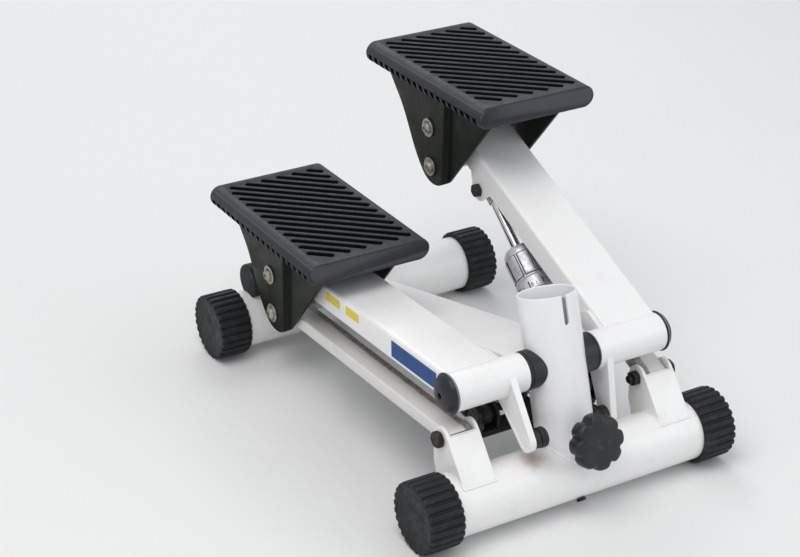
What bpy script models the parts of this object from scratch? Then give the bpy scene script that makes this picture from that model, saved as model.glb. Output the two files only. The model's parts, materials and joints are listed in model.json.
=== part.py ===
"""Mini stepper: two foot plates on linked arms over a two-tube base.

Built in metres, +Z up, +X to the right of someone facing the knob's side,
-Y towards the knob, the base standing on z = 0. The left arm rests low and
the right arm high. Lengths below are millimetres and angles are degrees.
"""
import math

import bmesh
import bpy
from mathutils import Vector

MM = 0.001
GAP = 0.3            # between two touching pieces
RUN = 0.3            # radial play of a turning fit
SEG = 30             # facets round a tube
SMALL_SEG = 12       # facets round a bolt

# base frame
BASE_WIDTH = 350.0
TUBE_R = 30.2
TUBE_WALL = 2.0
TUBE_SPACING = 426.0
REAR_TUBE_Y = 222.7
FRONT_TUBE_Y = REAR_TUBE_Y - TUBE_SPACING
CAP_R = 35.5
CAP_LENGTH = 36.5
CAP_FLOOR = 10.0
CAP_RIBS = 26
CAP_RIB_DEPTH = 2.4
TUBE_Z = CAP_R

# post
POST_LEAN = 16.9
POST_R = 28.7
POST_WALL = 2.2
POST_LENGTH = 173.8
SLOT_WIDTH = 3.8
SLOT_DEPTH = 27.0
KNOB_ALONG_POST = 36.0
KNOB_R = 27.0
KNOB_LOBES = 8
KNOB_FACE = 61.7
KNOB_THICKNESS = 19.0
SCREW_R = 5.0

# pivot shaft and sleeves
PIVOT_Z = 136.7
SHAFT_R = 8.0
SLEEVE_R = 18.9
SLEEVE_WALL = 3.0
SLEEVE_IN = 40.3
SHAFT_END = 2.6                # shaft beyond each sleeve
SPACER_R = 19.2
END_CAP_DEPTH = 11.0

# arms
ARM_RADIUS = 321.0
ARM_LOW = -2.5
ARM_HIGH = 22.6
ARM_WIDTH = 60.0
ARM_TOP = 16.0
ARM_BOTTOM = -9.7
ARM_SHEET = 2.3
ARM_TAIL = 15.0

# clevises and lower bars
BAR_PIVOT_DY = -4.6
BAR_PIVOT_Z = 94.2
BAR_WIDTH = 26.6
BAR_HALF_HEIGHT = 7.0
BAR_SHEET = 2.2
BAR_CLEARANCE = 2.0            # bar to the carrier's outer plate
CLEVIS_SHEET = 3.0
CLEVIS_GAP = 29.0
CLEVIS_INSET = 8.5             # clevis to a cap's inner edge
EAR_R = 12.0
CLEVIS_BOLT_R = 4.0
CLEVIS_LIP = (-11.7, 5.3)      # front plate's top edge from the bolt
CLEVIS_TOE = (-20.0, 56.0)     # its lower edge from the tube's axis, and height

# pedal carriers and foot plates
PLATE_HALF_WIDTH = 48.4
PLATE_STEP = 6.0
PLATE_SHEET = 3.0
PLATE_TOP = 44.0
PLATE_TIP = (-10.0, -29.5)
PLATE_TIP_R = 31.0
PLATE_REAR = 94.0
PLATE_FRONT = -105.0
PLATE_CORNER = 6.0
PANEL_REAR = (11.5, 0.2)       # distance from the upper bolt, and lean per height
PANEL_FRONT = (-28.8, -0.03)
PANEL_BEND = 2.4
PANEL_END = -6.0               # height where the rear step runs out
PEDAL_BOLT_R = 5.0
TREAD_WIDTH = 138.0
TREAD_LENGTH = 220.0
TREAD_THICK = 22.8
TREAD_DY = -14.8
TREAD_TOP = 67.1
GROOVE_ANGLE = -32.0
GROOVE_PITCH = 12.1
GROOVE_WIDTH = 7.6
GROOVE_DEPTH = 1.6
GROOVE_HALF_X = 52.0
GROOVE_HALF_Y = 100.0

# levers, links and rocker
LEVER_RADIUS = 64.0
LEVER_ANGLE = 228.7
LEVER_TIP_R = 10.3
LEVER_ROOT_R = 18.5
LEVER_IN = 51.7
LEVER_OUT = 58.3
LEVER_SHIFT = -5.2             # both levers sit this far to the left
LEVER_PIN_R = 4.6
LEVER_STOP_R = 10.0
LEVER_STOP_IN = 36.4
LINK_EYE_R = 9.0
LINK_ROD_R = 3.5
LINK_EYE_WIDTH = 7.0
LINK_END_X = 26.7
LINK_BEND = (15.0, 28.0, 40.0)  # first knee, second knee, and its distance from the middle
LINK_REACH = 98.4
ROCKER_ARM = 28.0
ROCKER_LOW = 67.0
ROCKER_THICK = 6.0
BALL_Z = 84.0
BALL_R = 4.8
BALL_PLAY = 1.6

# cross bar under the spine
CROSS_HALF_LENGTH = 70.0
CROSS_LOW = 57.0
CROSS_TOP = 64.0
CROSS_FRONT = 14.0
CROSS_REAR = 44.0

# dampers
DAMPER_FOOT_X = 58.0
DAMPER_FOOT_DY = 32.2
DAMPER_FOOT_Z = 79.0
DAMPER_EYE_CLEARANCE = 1.6     # upper eye to the arm's own lug
DAMPER_HEAD_ALONG = 238.5
DAMPER_HEAD_HEIGHT = -18.0
DAMPER_BODY_R = 14.0
DAMPER_COLLAR_R = 19.2
DAMPER_DIAL_R = 18.6
DAMPER_DIAL_TIP_R = 12.0
DAMPER_DIAL_SHOULDER = 9.0
DAMPER_ROD_R = 5.0
DAMPER_EYE_R = 10.0
DAMPER_EYE_WIDTH = 13.0
DAMPER_EYE_BORE = 5.9
DAMPER_BODY_END = 106.0
DAMPER_COLLAR_END = 120.5
DAMPER_DIAL_END = 159.5
DAMPER_PIN_R = 4.0
DAMPER_EAR_GAP = 16.4
DAMPER_EAR_SHEET = 3.0
DAMPER_EAR_R = 12.0

# spine
SPINE_CLEARANCE = 5.0          # spine to a carrier, and to a spacer
SPINE_NECK = 15.0              # half width beside the spacers
SPINE_DEPTH = 22.0
SPINE_SHEET = 2.5
SPINE_FRONT_TOP = 141.0
SPINE_REAR_TOP = 53.0

# rear stop
STOP_INSET = 16.5              # stop's middle to the cap's inner edge
STOP_R = 18.5
STOP_SEAT = 4.5                # depth of the stop's saddle
STOP_WIDTH = 10.0

# places that follow from the sizes above
BAR_X = BASE_WIDTH / 2 - CAP_LENGTH - CLEVIS_INSET - CLEVIS_SHEET - CLEVIS_GAP / 2
ARM_X = BAR_X + BAR_WIDTH / 2 + BAR_CLEARANCE - (PLATE_HALF_WIDTH - PLATE_STEP - PLATE_SHEET)
SLEEVE_OUT = ARM_X + ARM_WIDTH / 2
DAMPER_HEAD_X = ARM_X - ARM_WIDTH / 2 + ARM_SHEET + DAMPER_EYE_CLEARANCE + DAMPER_EYE_WIDTH / 2
SPINE_HALF_WIDTH = ARM_X - PLATE_HALF_WIDTH - SPINE_CLEARANCE
STOP_X = -(BASE_WIDTH / 2 - CAP_LENGTH - STOP_INSET)
PIVOT_Y = FRONT_TUBE_Y + (PIVOT_Z - TUBE_Z) * math.tan(math.radians(POST_LEAN))
PIVOT = Vector((0.0, PIVOT_Y, PIVOT_Z))
BAR_PIVOT = Vector((0.0, PIVOT_Y + BAR_PIVOT_DY, BAR_PIVOT_Z))
POST_AXIS = Vector((0.0, math.sin(math.radians(POST_LEAN)), math.cos(math.radians(POST_LEAN))))
POST_FOOT = Vector((0.0, FRONT_TUBE_Y, TUBE_Z))
X_AXIS = Vector((1.0, 0.0, 0.0))


def lever_tip(angle):
    """World (y, z) of a lever's pin for an arm angle."""
    turn = math.radians(LEVER_ANGLE + angle)
    return (PIVOT.y + LEVER_RADIUS * math.cos(turn), PIVOT.z + LEVER_RADIUS * math.sin(turn))


def lever_x(side, distance):
    """World x at a distance from the levers' own middle plane."""
    return side * distance + LEVER_SHIFT


def link_end(angle):
    """World y of a link's rocker end for an arm angle."""
    y, z = lever_tip(angle)
    return y + math.sqrt(LINK_REACH ** 2 - (BALL_Z - z) ** 2)


ROCKER_Y = (link_end(ARM_LOW) + link_end(ARM_HIGH)) / 2
ROCKER_REST = math.degrees(math.asin((link_end(ARM_HIGH) - link_end(ARM_LOW)) / 2 / ROCKER_ARM))


# finishes

def finish(name, colour, roughness, metallic=0.0):
    """Principled material with one colour."""
    material = bpy.data.materials.new(name)
    material.use_nodes = True
    shader = material.node_tree.nodes["Principled BSDF"]
    shader.inputs["Base Color"].default_value = (*colour, 1.0)
    shader.inputs["Roughness"].default_value = roughness
    shader.inputs["Metallic"].default_value = metallic
    return material


# mesh helpers

def add_object(name, mesh_builder, material):
    """Object from a bmesh in millimetres; the mesh is closed and faces out."""
    bmesh.ops.recalc_face_normals(mesh_builder, faces=mesh_builder.faces)
    bmesh.ops.scale(mesh_builder, vec=(MM, MM, MM), verts=mesh_builder.verts)
    mesh = bpy.data.meshes.new(name)
    mesh_builder.to_mesh(mesh)
    mesh_builder.free()
    obj = bpy.data.objects.new(name, mesh)
    bpy.context.collection.objects.link(obj)
    obj.data.materials.append(material)
    return obj


def prism(name, outline, x0, x1, material):
    """Outline of (y, z) points drawn out along X from x0 to x1."""
    bm = bmesh.new()
    ends = [[bm.verts.new((x, y, z)) for y, z in outline] for x in (x0, x1)]
    count = len(outline)
    bm.faces.new(ends[0])
    bm.faces.new(ends[1])
    for i in range(count):
        j = (i + 1) % count
        bm.faces.new((ends[0][i], ends[0][j], ends[1][j], ends[1][i]))
    return add_object(name, bm, material)


def slab(name, outline, z0, z1, material):
    """Outline of (x, y) points drawn out along Z from z0 to z1."""
    bm = bmesh.new()
    ends = [[bm.verts.new((x, y, z)) for x, y in outline] for z in (z0, z1)]
    count = len(outline)
    bm.faces.new(ends[0])
    bm.faces.new(ends[1])
    for i in range(count):
        j = (i + 1) % count
        bm.faces.new((ends[0][i], ends[0][j], ends[1][j], ends[1][i]))
    return add_object(name, bm, material)


def loft(name, rings, material):
    """Closed solid through rings of points that all have the same count."""
    bm = bmesh.new()
    loops = [[bm.verts.new(p) for p in ring] for ring in rings]
    count = len(rings[0])
    bm.faces.new(loops[0])
    bm.faces.new(loops[-1])
    for low, high in zip(loops, loops[1:]):
        for i in range(count):
            j = (i + 1) % count
            bm.faces.new((low[i], low[j], high[j], high[i]))
    return add_object(name, bm, material)


def frame_along(axis):
    """Two unit vectors square to an axis."""
    axis = Vector(axis).normalized()
    start = Vector((0.0, 0.0, 1.0)) if abs(axis.z) < 0.9 else Vector((0.0, 1.0, 0.0))
    side = axis.cross(start).normalized()
    return side, axis.cross(side)


def lathe(name, origin, axis, profile, material, segments=SEG, closed=False):
    """Turns a profile of (distance along axis, radius) about an axis.

    closed joins the last point to the first, for a ring with a bore;
    otherwise the profile starts and ends on the axis.
    """
    origin = Vector(origin)
    axis = Vector(axis).normalized()
    side, up = frame_along(axis)
    bm = bmesh.new()
    rings = []
    for along, radius in profile:
        centre = origin + axis * along
        if radius < 1e-6:
            rings.append([bm.verts.new(centre)])
            continue
        ring = []
        for i in range(segments):
            turn = 2 * math.pi * i / segments
            ring.append(bm.verts.new(centre + radius * (math.cos(turn) * side + math.sin(turn) * up)))
        rings.append(ring)
    pairs = list(zip(rings, rings[1:]))
    if closed:
        pairs.append((rings[-1], rings[0]))
    for low, high in pairs:
        for i in range(segments):
            j = (i + 1) % segments
            if len(low) == 1 and len(high) == 1:
                break
            if len(low) == 1:
                bm.faces.new((low[0], high[i], high[j]))
            elif len(high) == 1:
                bm.faces.new((low[i], high[0], low[j]))
            else:
                bm.faces.new((low[i], high[i], high[j], low[j]))
    return add_object(name, bm, material)


def rod(name, start, end, radius, material, segments=SEG):
    """Plain round bar between two points."""
    start = Vector(start)
    along = Vector(end) - start
    profile = [(0.0, 0.0), (0.0, radius), (along.length, radius), (along.length, 0.0)]
    return lathe(name, start, along, profile, material, segments)


def pipe(name, start, end, outer, inner, material, segments=SEG):
    """Round tube between two points."""
    start = Vector(start)
    along = Vector(end) - start
    profile = [(0.0, inner), (0.0, outer), (along.length, outer), (along.length, inner)]
    return lathe(name, start, along, profile, material, segments, closed=True)


def combine(target, other, operation):
    """Boolean of two objects, applied to the first; the second is removed."""
    modifier = target.modifiers.new("combine", "BOOLEAN")
    modifier.operation = operation
    modifier.solver = "EXACT"
    modifier.object = other
    depsgraph = bpy.context.evaluated_depsgraph_get()
    result = bpy.data.meshes.new_from_object(target.evaluated_get(depsgraph))
    target.modifiers.clear()
    old = target.data
    target.data = result
    bpy.data.meshes.remove(old)
    bpy.data.objects.remove(other)
    return target


def cut(target, other):
    """Takes the second object away from the first."""
    return combine(target, other, "DIFFERENCE")


def weld(target, other):
    """Joins the second object to the first as one solid."""
    return combine(target, other, "UNION")


def arc(centre, radius, start, end, steps):
    """Points on an arc, angles in degrees, both ends included."""
    points = []
    for i in range(steps + 1):
        turn = math.radians(start + (end - start) * i / steps)
        points.append((centre[0] + radius * math.cos(turn), centre[1] + radius * math.sin(turn)))
    return points


def hull(discs, steps=40):
    """Convex outline round discs given as (centre, radius)."""
    points = []
    for centre, radius in discs:
        if radius <= 0:
            points.append((centre[0], centre[1]))
        else:
            points.extend(arc(centre, radius, 0, 360 - 360 / steps, steps - 1))
    points = sorted(set((round(x, 6), round(y, 6)) for x, y in points))

    def half(sequence):
        chain = []
        for p in sequence:
            while len(chain) > 1:
                a, b = chain[-2], chain[-1]
                turn = (b[0] - a[0]) * (p[1] - a[1]) - (b[1] - a[1]) * (p[0] - a[0])
                if turn > 1e-9:
                    break
                chain.pop()
            chain.append(p)
        return chain[:-1]

    return half(points) + half(reversed(points))


def side_of(arm_angle):
    """Unit vectors along an arm and square to it, in the side view."""
    turn = math.radians(arm_angle)
    return Vector((0.0, math.cos(turn), math.sin(turn))), Vector((0.0, -math.sin(turn), math.cos(turn)))


def from_arm(arm_angle, along, height, origin=PIVOT):
    """World (y, z) of a point given along and above an arm's line."""
    u, n = side_of(arm_angle)
    point = origin + u * along + n * height
    return (point.y, point.z)


def bolt_profile(stations):
    """Lathe profile of a stepped bolt from (start, end, radius) lengths."""
    profile = [(stations[0][0], 0.0)]
    for start, end, radius in stations:
        profile.append((start, radius))
        profile.append((end, radius))
    profile.append((stations[-1][1], 0.0))
    return profile


# base

def rib_outline(tip, root, ribs):
    """Ribbed round outline as (angle, radius) points."""
    outline = []
    for i in range(ribs):
        for share, radius in ((0.0, root), (0.22, tip), (0.62, tip)):
            outline.append((2 * math.pi * (i + share) / ribs, radius))
    return outline


def foot_cap(name, side, tube_y, rubber):
    """Ribbed rubber cap over a tube's end, standing on the floor."""
    inner = side * (BASE_WIDTH / 2 - CAP_LENGTH)
    outer = side * BASE_WIDTH / 2
    chamfer = 1.6
    rings = []
    for x, inset in ((inner, 0.0), (outer - side * chamfer, 0.0), (outer, chamfer)):
        ring = []
        for turn, radius in rib_outline(CAP_R, CAP_R - CAP_RIB_DEPTH, CAP_RIBS):
            r = radius - inset
            ring.append((x, tube_y + r * math.sin(turn), TUBE_Z - r * math.cos(turn)))
        rings.append(ring)
    cap = loft(name, rings, rubber)
    bore_end = (outer - side * CAP_FLOOR, tube_y, TUBE_Z)
    return cut(cap, rod("bore", (inner - side, tube_y, TUBE_Z), bore_end, TUBE_R + GAP, rubber))


def base_tube(name, tube_y, paint):
    """Round floor tube running into both of its caps."""
    reach = BASE_WIDTH / 2 - CAP_FLOOR - 1.5
    return pipe(name, (-reach, tube_y, TUBE_Z), (reach, tube_y, TUBE_Z), TUBE_R, TUBE_R - TUBE_WALL, paint)


def post_cutter(name, radius, material):
    """Solid cylinder on the post's axis, longer than the post."""
    return rod(name, POST_FOOT - POST_AXIS * 40, POST_FOOT + POST_AXIS * 260, radius, material)


def tube_cutter(name, tube_y, material):
    """Solid cylinder on a floor tube's axis with the touching gap."""
    reach = BASE_WIDTH
    return rod(name, (-reach, tube_y, TUBE_Z), (reach, tube_y, TUBE_Z), TUBE_R + GAP, material)


def knob_axis():
    """Point on the post's axis behind the knob, and the way the knob faces."""
    lean = math.radians(POST_LEAN)
    return POST_FOOT + POST_AXIS * KNOB_ALONG_POST, Vector((0.0, -math.cos(lean), math.sin(lean)))


def build_post(paint):
    """Open leaning post with a key slot, a shaft hole and a screw boss."""
    post = pipe("post", POST_FOOT, POST_FOOT + POST_AXIS * POST_LENGTH, POST_R, POST_R - POST_WALL, paint)
    origin, facing = knob_axis()
    boss_ends = (origin + facing * (POST_R - POST_WALL / 2), origin + facing * (POST_R + 8.5))
    boss = rod("boss", *boss_ends, 9.5, paint, 16)
    weld(post, boss)
    hole_ends = (origin + facing * POST_R / 2, origin + facing * 2 * POST_R)
    screw_hole = rod("hole", *hole_ends, SCREW_R + RUN, paint, SMALL_SEG)
    cut(post, screw_hole)
    reach = X_AXIS * 2 * POST_R
    cut(post, rod("hole", PIVOT - reach, PIVOT + reach, SHAFT_R + RUN, paint, 20))
    slot = []
    for across, down in arc((0.0, SLOT_DEPTH - SLOT_WIDTH / 2), SLOT_WIDTH / 2, 0, 180, 10):
        slot.append((across, down))
    slot.extend([(-SLOT_WIDTH / 2, -5.0), (SLOT_WIDTH / 2, -5.0)])
    front = Vector((0.0, -math.cos(math.radians(POST_LEAN)), math.sin(math.radians(POST_LEAN))))
    top = POST_FOOT + POST_AXIS * POST_LENGTH
    rings = []
    for depth in (POST_R - 8.0, POST_R + 6.0):
        ring = [top + front * depth + X_AXIS * across - POST_AXIS * down for across, down in slot]
        rings.append(ring)
    cut(post, loft("slot", rings, paint))
    return cut(post, tube_cutter("saddle", FRONT_TUBE_Y, paint))


def build_spine(paint):
    """Wide inverted channel from the rear tube up to the back of the post."""
    rear = REAR_TUBE_Y - 25.0
    front = PIVOT_Y + 20.0
    rise = (SPINE_FRONT_TOP - SPINE_REAR_TOP) / (rear - front)

    def top(y):
        return SPINE_REAR_TOP + (rear - y) * rise

    start = PIVOT_Y + 5.0
    end = REAR_TUBE_Y - 5.0
    outline = [(start, top(start)), (end, top(end)), (end, top(end) - SPINE_DEPTH)]
    outline.append((start, top(start) - SPINE_DEPTH))
    spine = prism("spine", outline, -SPINE_HALF_WIDTH, SPINE_HALF_WIDTH, paint)
    inner = []
    for y, depth in ((start - SPINE_DEPTH, SPINE_SHEET), (end + SPINE_DEPTH, SPINE_SHEET),
                     (end + SPINE_DEPTH, 3 * SPINE_DEPTH), (start - SPINE_DEPTH, 3 * SPINE_DEPTH)):
        inner.append((y, top(y) - depth))
    half = SPINE_HALF_WIDTH - SPINE_SHEET
    cut(spine, prism("inner", inner, -half, half, paint))
    cut(spine, tube_cutter("saddle", REAR_TUBE_Y, paint))
    clear = PIVOT_Y + SPACER_R + SPINE_CLEARANCE
    low = top(start) - 2 * SPINE_DEPTH
    high = top(start) + SPINE_DEPTH
    for side in (-1, 1):
        corner = [(start - SPINE_DEPTH, low), (clear, low), (clear, high), (start - SPINE_DEPTH, high)]
        x_near = side * SPINE_NECK
        x_far = side * 2 * SPINE_HALF_WIDTH
        cut(spine, prism("corner", corner, min(x_near, x_far), max(x_near, x_far), paint))
    return cut(spine, post_cutter("saddle", POST_R + GAP, paint))


def build_spacer(name, side, plastic):
    """Black collar between the post and a sleeve, saddled to the post."""
    start = PIVOT + X_AXIS * side * (SLEEVE_IN - 0.5)
    end = PIVOT + X_AXIS * side * 12.0
    spacer = pipe(name, start, end, SPACER_R, SHAFT_R + GAP, plastic)
    return cut(spacer, post_cutter("saddle", POST_R + 0.4, plastic))


def build_clevis(name, side, paint):
    """Bent bracket on the front tube that carries a lower bar."""
    y, z = BAR_PIVOT.y, BAR_PIVOT.z
    lip = Vector((y + CLEVIS_LIP[0], z + CLEVIS_LIP[1]))
    toe = Vector((FRONT_TUBE_Y + CLEVIS_TOE[0], CLEVIS_TOE[1]))
    outline = arc((y, z), EAR_R, 150, 0, 16)
    outline += [(y + EAR_R - 1.0, 66.0), (FRONT_TUBE_Y + TUBE_R - 0.7, 46.0), (FRONT_TUBE_Y, TUBE_Z)]
    outline += [tuple(toe), tuple(lip)]
    half = CLEVIS_GAP / 2 + CLEVIS_SHEET
    clevis = prism(name, outline, side * BAR_X - half, side * BAR_X + half, paint)
    lean = (toe - lip).normalized()
    inward = Vector((-lean.y, lean.x))
    low = toe + inward * CLEVIS_SHEET + lean * TUBE_R
    high = lip + inward * CLEVIS_SHEET - lean * TUBE_R
    deep = 3 * TUBE_R
    pocket = [(low.x, low.y), (high.x, high.y), (high.x + deep, high.y), (low.x + deep, low.y)]
    half = CLEVIS_GAP / 2
    cut(clevis, prism("pocket", pocket, side * BAR_X - half, side * BAR_X + half, paint))
    gap = [(y - deep, lip.y), (y + deep, lip.y), (y + deep, z + deep), (y - deep, z + deep)]
    cut(clevis, prism("gap", gap, side * BAR_X - half, side * BAR_X + half, paint))
    cut(clevis, tube_cutter("saddle", FRONT_TUBE_Y, paint))
    span = X_AXIS * CLEVIS_GAP
    centre = BAR_PIVOT + X_AXIS * side * BAR_X
    return cut(clevis, rod("hole", centre - span, centre + span, CLEVIS_BOLT_R + GAP, paint, SMALL_SEG))


def hex_head(name, centre, axis, radius, height, material, chamfer=0.8):
    """Hexagon bolt head standing on a face at centre."""
    side, up = frame_along(axis)
    axis = Vector(axis).normalized()
    rings = []
    for along, inset in ((0.0, 0.0), (height - chamfer, 0.0), (height, chamfer * 1.2)):
        ring = []
        for i in range(6):
            turn = math.radians(60 * i + 12)
            r = radius - inset
            ring.append(Vector(centre) + axis * along + r * (math.cos(turn) * side + math.sin(turn) * up))
        rings.append(ring)
    return loft(name, rings, material)


def build_clevis_bolt(name, side, steel):
    """Bolt through a clevis: head outside, nut and thread end inside."""
    half = CLEVIS_GAP / 2 + CLEVIS_SHEET + GAP
    stations = [(-half - 10.5, -half, CLEVIS_BOLT_R), (-half, half, CLEVIS_BOLT_R)]
    centre = BAR_PIVOT + X_AXIS * side * BAR_X
    bolt = lathe(name, centre, X_AXIS * side, bolt_profile(stations), steel, SMALL_SEG)
    weld(bolt, hex_head("head", centre + X_AXIS * side * (half - 0.02), X_AXIS * side, 8.6, 6.4, steel))
    nut = hex_head("nut", centre - X_AXIS * side * (half - 0.02), -X_AXIS * side, 8.0, 6.6, steel)
    return weld(bolt, nut)


def build_cross_bar(paint):
    """Flat bar behind the post with a tongue for the rocker."""
    front = PIVOT_Y + CROSS_FRONT
    rear = PIVOT_Y + CROSS_REAR
    outline = hull([((x, y), 4.0) for x in (-CROSS_HALF_LENGTH + 4, CROSS_HALF_LENGTH - 4)
                    for y in (front + 4, rear - 4)], 24)
    bar = slab("cross_bar", outline, CROSS_LOW, CROSS_TOP, paint)
    neck = [(-20, front - 22), (20, front - 22), (24, front + 2), (-24, front + 2)]
    weld(bar, slab("neck", neck, CROSS_LOW, CROSS_TOP, paint))
    tongue = hull([((0, ROCKER_Y), 13.0), ((-13, rear - 2), 0), ((13, rear - 2), 0)], 40)
    weld(bar, slab("tongue", tongue, CROSS_LOW, CROSS_TOP, paint))
    pin = (0, ROCKER_Y, CROSS_LOW)
    cut(bar, rod("hole", pin, (0, ROCKER_Y, CROSS_TOP + 5), SCREW_R + GAP, paint, SMALL_SEG))
    cut(bar, tube_cutter("saddle", FRONT_TUBE_Y, paint))
    return cut(bar, post_cutter("saddle", POST_R + GAP, paint))


def build_rocker_pin(steel):
    """Upright pin with a washer below the rocker and a nut above it."""
    top = ROCKER_LOW + ROCKER_THICK
    stations = [(CROSS_LOW + 0.5, CROSS_TOP + GAP, SCREW_R), (CROSS_TOP + GAP, ROCKER_LOW - GAP, 9.0)]
    stations += [(ROCKER_LOW - GAP, top + GAP, SCREW_R), (top + GAP, top + 5.0, 8.0)]
    return lathe("rocker_pin", (0, ROCKER_Y, 0), (0, 0, 1), bolt_profile(stations), steel, SMALL_SEG)


def damper_foot(side):
    """Centre of a damper's lower eye."""
    return Vector((side * DAMPER_FOOT_X, PIVOT_Y + DAMPER_FOOT_DY, DAMPER_FOOT_Z))


def build_damper_mount(name, side, black):
    """Two ears and a pin on the cross bar for a damper's foot."""
    foot = damper_foot(side)
    low = CROSS_TOP + GAP
    half = DAMPER_EAR_GAP / 2 + DAMPER_EAR_SHEET
    outline = arc((foot.y, foot.z), DAMPER_EAR_R, 180, 0, 20)
    outline += [(foot.y + DAMPER_EAR_R, low), (foot.y - DAMPER_EAR_R, low)]
    mount = prism(name, outline, foot.x - half, foot.x + half, black)
    pocket = [(foot.y - 30, low + 3), (foot.y + 30, low + 3), (foot.y + 30, 120), (foot.y - 30, 120)]
    half = DAMPER_EAR_GAP / 2
    cut(mount, prism("pocket", pocket, foot.x - half, foot.x + half, black))
    reach = X_AXIS * (DAMPER_EAR_GAP / 2 + 1.0)
    return weld(mount, rod("pin", foot - reach, foot + reach, SCREW_R - GAP, black, SMALL_SEG))


def build_rear_stop(rubber):
    """Round rubber stop saddled on the rear tube."""
    centre = Vector((STOP_X, REAR_TUBE_Y, TUBE_Z + TUBE_R + STOP_R - STOP_SEAT))
    half = STOP_WIDTH / 2
    profile = [(-half, 0.0), (-half, STOP_R - 1.5), (-half + 1.5, STOP_R), (half - 1.5, STOP_R)]
    profile += [(half, STOP_R - 1.5), (half, 0.0)]
    stop = lathe("rear_stop", centre, X_AXIS, profile, rubber, 32)
    return cut(stop, tube_cutter("saddle", REAR_TUBE_Y, rubber))


def build_tube_screw(steel):
    """Small domed screw head low on the front of the front tube."""
    axis = Vector((0.0, -0.66, -0.75)).normalized()
    centre = Vector((0.0, FRONT_TUBE_Y, TUBE_Z)) + axis * (TUBE_R + GAP)
    profile = [(0.0, 0.0), (0.0, 4.8), (1.8, 4.6), (3.2, 3.2), (3.6, 0.0)]
    return lathe("tube_screw", centre, axis, profile, steel, 24)


def build_knob(plastic):
    """Lobed hand knob with a blind bore for its screw."""
    origin, facing = knob_axis()
    side, up = frame_along(facing)
    count = KNOB_LOBES * 6
    rings = []
    back = KNOB_FACE - KNOB_THICKNESS
    for along, scale in ((back, 0.88), (back + 2.5, 0.98), (KNOB_FACE - 4.0, 1.0), (KNOB_FACE - 1.4, 0.96),
                         (KNOB_FACE, 0.88)):
        ring = []
        for i in range(count):
            turn = 2 * math.pi * i / count
            lobe = abs(math.cos(KNOB_LOBES * turn / 2)) ** 0.7
            radius = (KNOB_R - 4.4 + 4.4 * lobe) * scale
            ring.append(origin + facing * along + radius * (math.cos(turn) * side + math.sin(turn) * up))
        rings.append(ring)
    knob = loft("knob", rings, plastic)
    weld(knob, rod("hub", origin + facing * (back - 3.2), origin + facing * (back + 4), 12.5, plastic, 24))
    bore_ends = (origin + facing * (back - 8), origin + facing * (back + 9))
    cut(knob, rod("bore", *bore_ends, SCREW_R + GAP, plastic, 16))
    dimple = [(KNOB_FACE - 1.2, 0.0), (KNOB_FACE - 1.0, 3.2), (KNOB_FACE + 0.5, 4.6), (KNOB_FACE + 0.5, 0.0)]
    return cut(knob, lathe("dimple", origin, facing, dimple, plastic, 16))


def build_knob_screw(steel):
    """Threaded rod from inside the post into the knob."""
    origin, facing = knob_axis()
    end = KNOB_FACE - KNOB_THICKNESS + 8.5
    profile = [(14.0, 0.0), (14.0, SCREW_R - 1.0), (15.0, SCREW_R), (end, SCREW_R), (end, 0.0)]
    return lathe("knob_screw", origin, facing, profile, steel, SMALL_SEG)


# arms

def build_sleeve(name, side, paint):
    """Tube that turns on the pivot shaft."""
    return pipe(name, PIVOT + X_AXIS * side * SLEEVE_IN, PIVOT + X_AXIS * side * SLEEVE_OUT,
                SLEEVE_R, SLEEVE_R - SLEEVE_WALL, paint)


def build_bush(name, side, plastic):
    """Nylon bush along the inside of a sleeve."""
    outer = SLEEVE_R - SLEEVE_WALL - GAP
    return pipe(name, PIVOT + X_AXIS * side * (SLEEVE_IN + 0.4), PIVOT + X_AXIS * side * (SLEEVE_OUT - 0.2),
                outer, SHAFT_R + RUN, plastic, 24)


def build_end_cap(name, side, plastic):
    """Domed cap on a sleeve's outer end with a small centre hole."""
    depth = END_CAP_DEPTH
    rim = SLEEVE_R + 1.3
    profile = [(5.2, 3.0), (depth - 0.4, 3.0), (depth, 4.2), (depth - 0.7, 9.0), (depth - 2.9, 14.0)]
    profile += [(depth - 6.0, 17.9), (2.6, rim - 0.2), (1.2, rim), (GAP, rim - 0.4), (GAP, SHAFT_R + 2.0)]
    profile += [(5.2, SHAFT_R + 2.0)]
    origin = PIVOT + X_AXIS * side * SLEEVE_OUT
    return lathe(name, origin, X_AXIS * side, profile, plastic, 20, closed=True)


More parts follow.
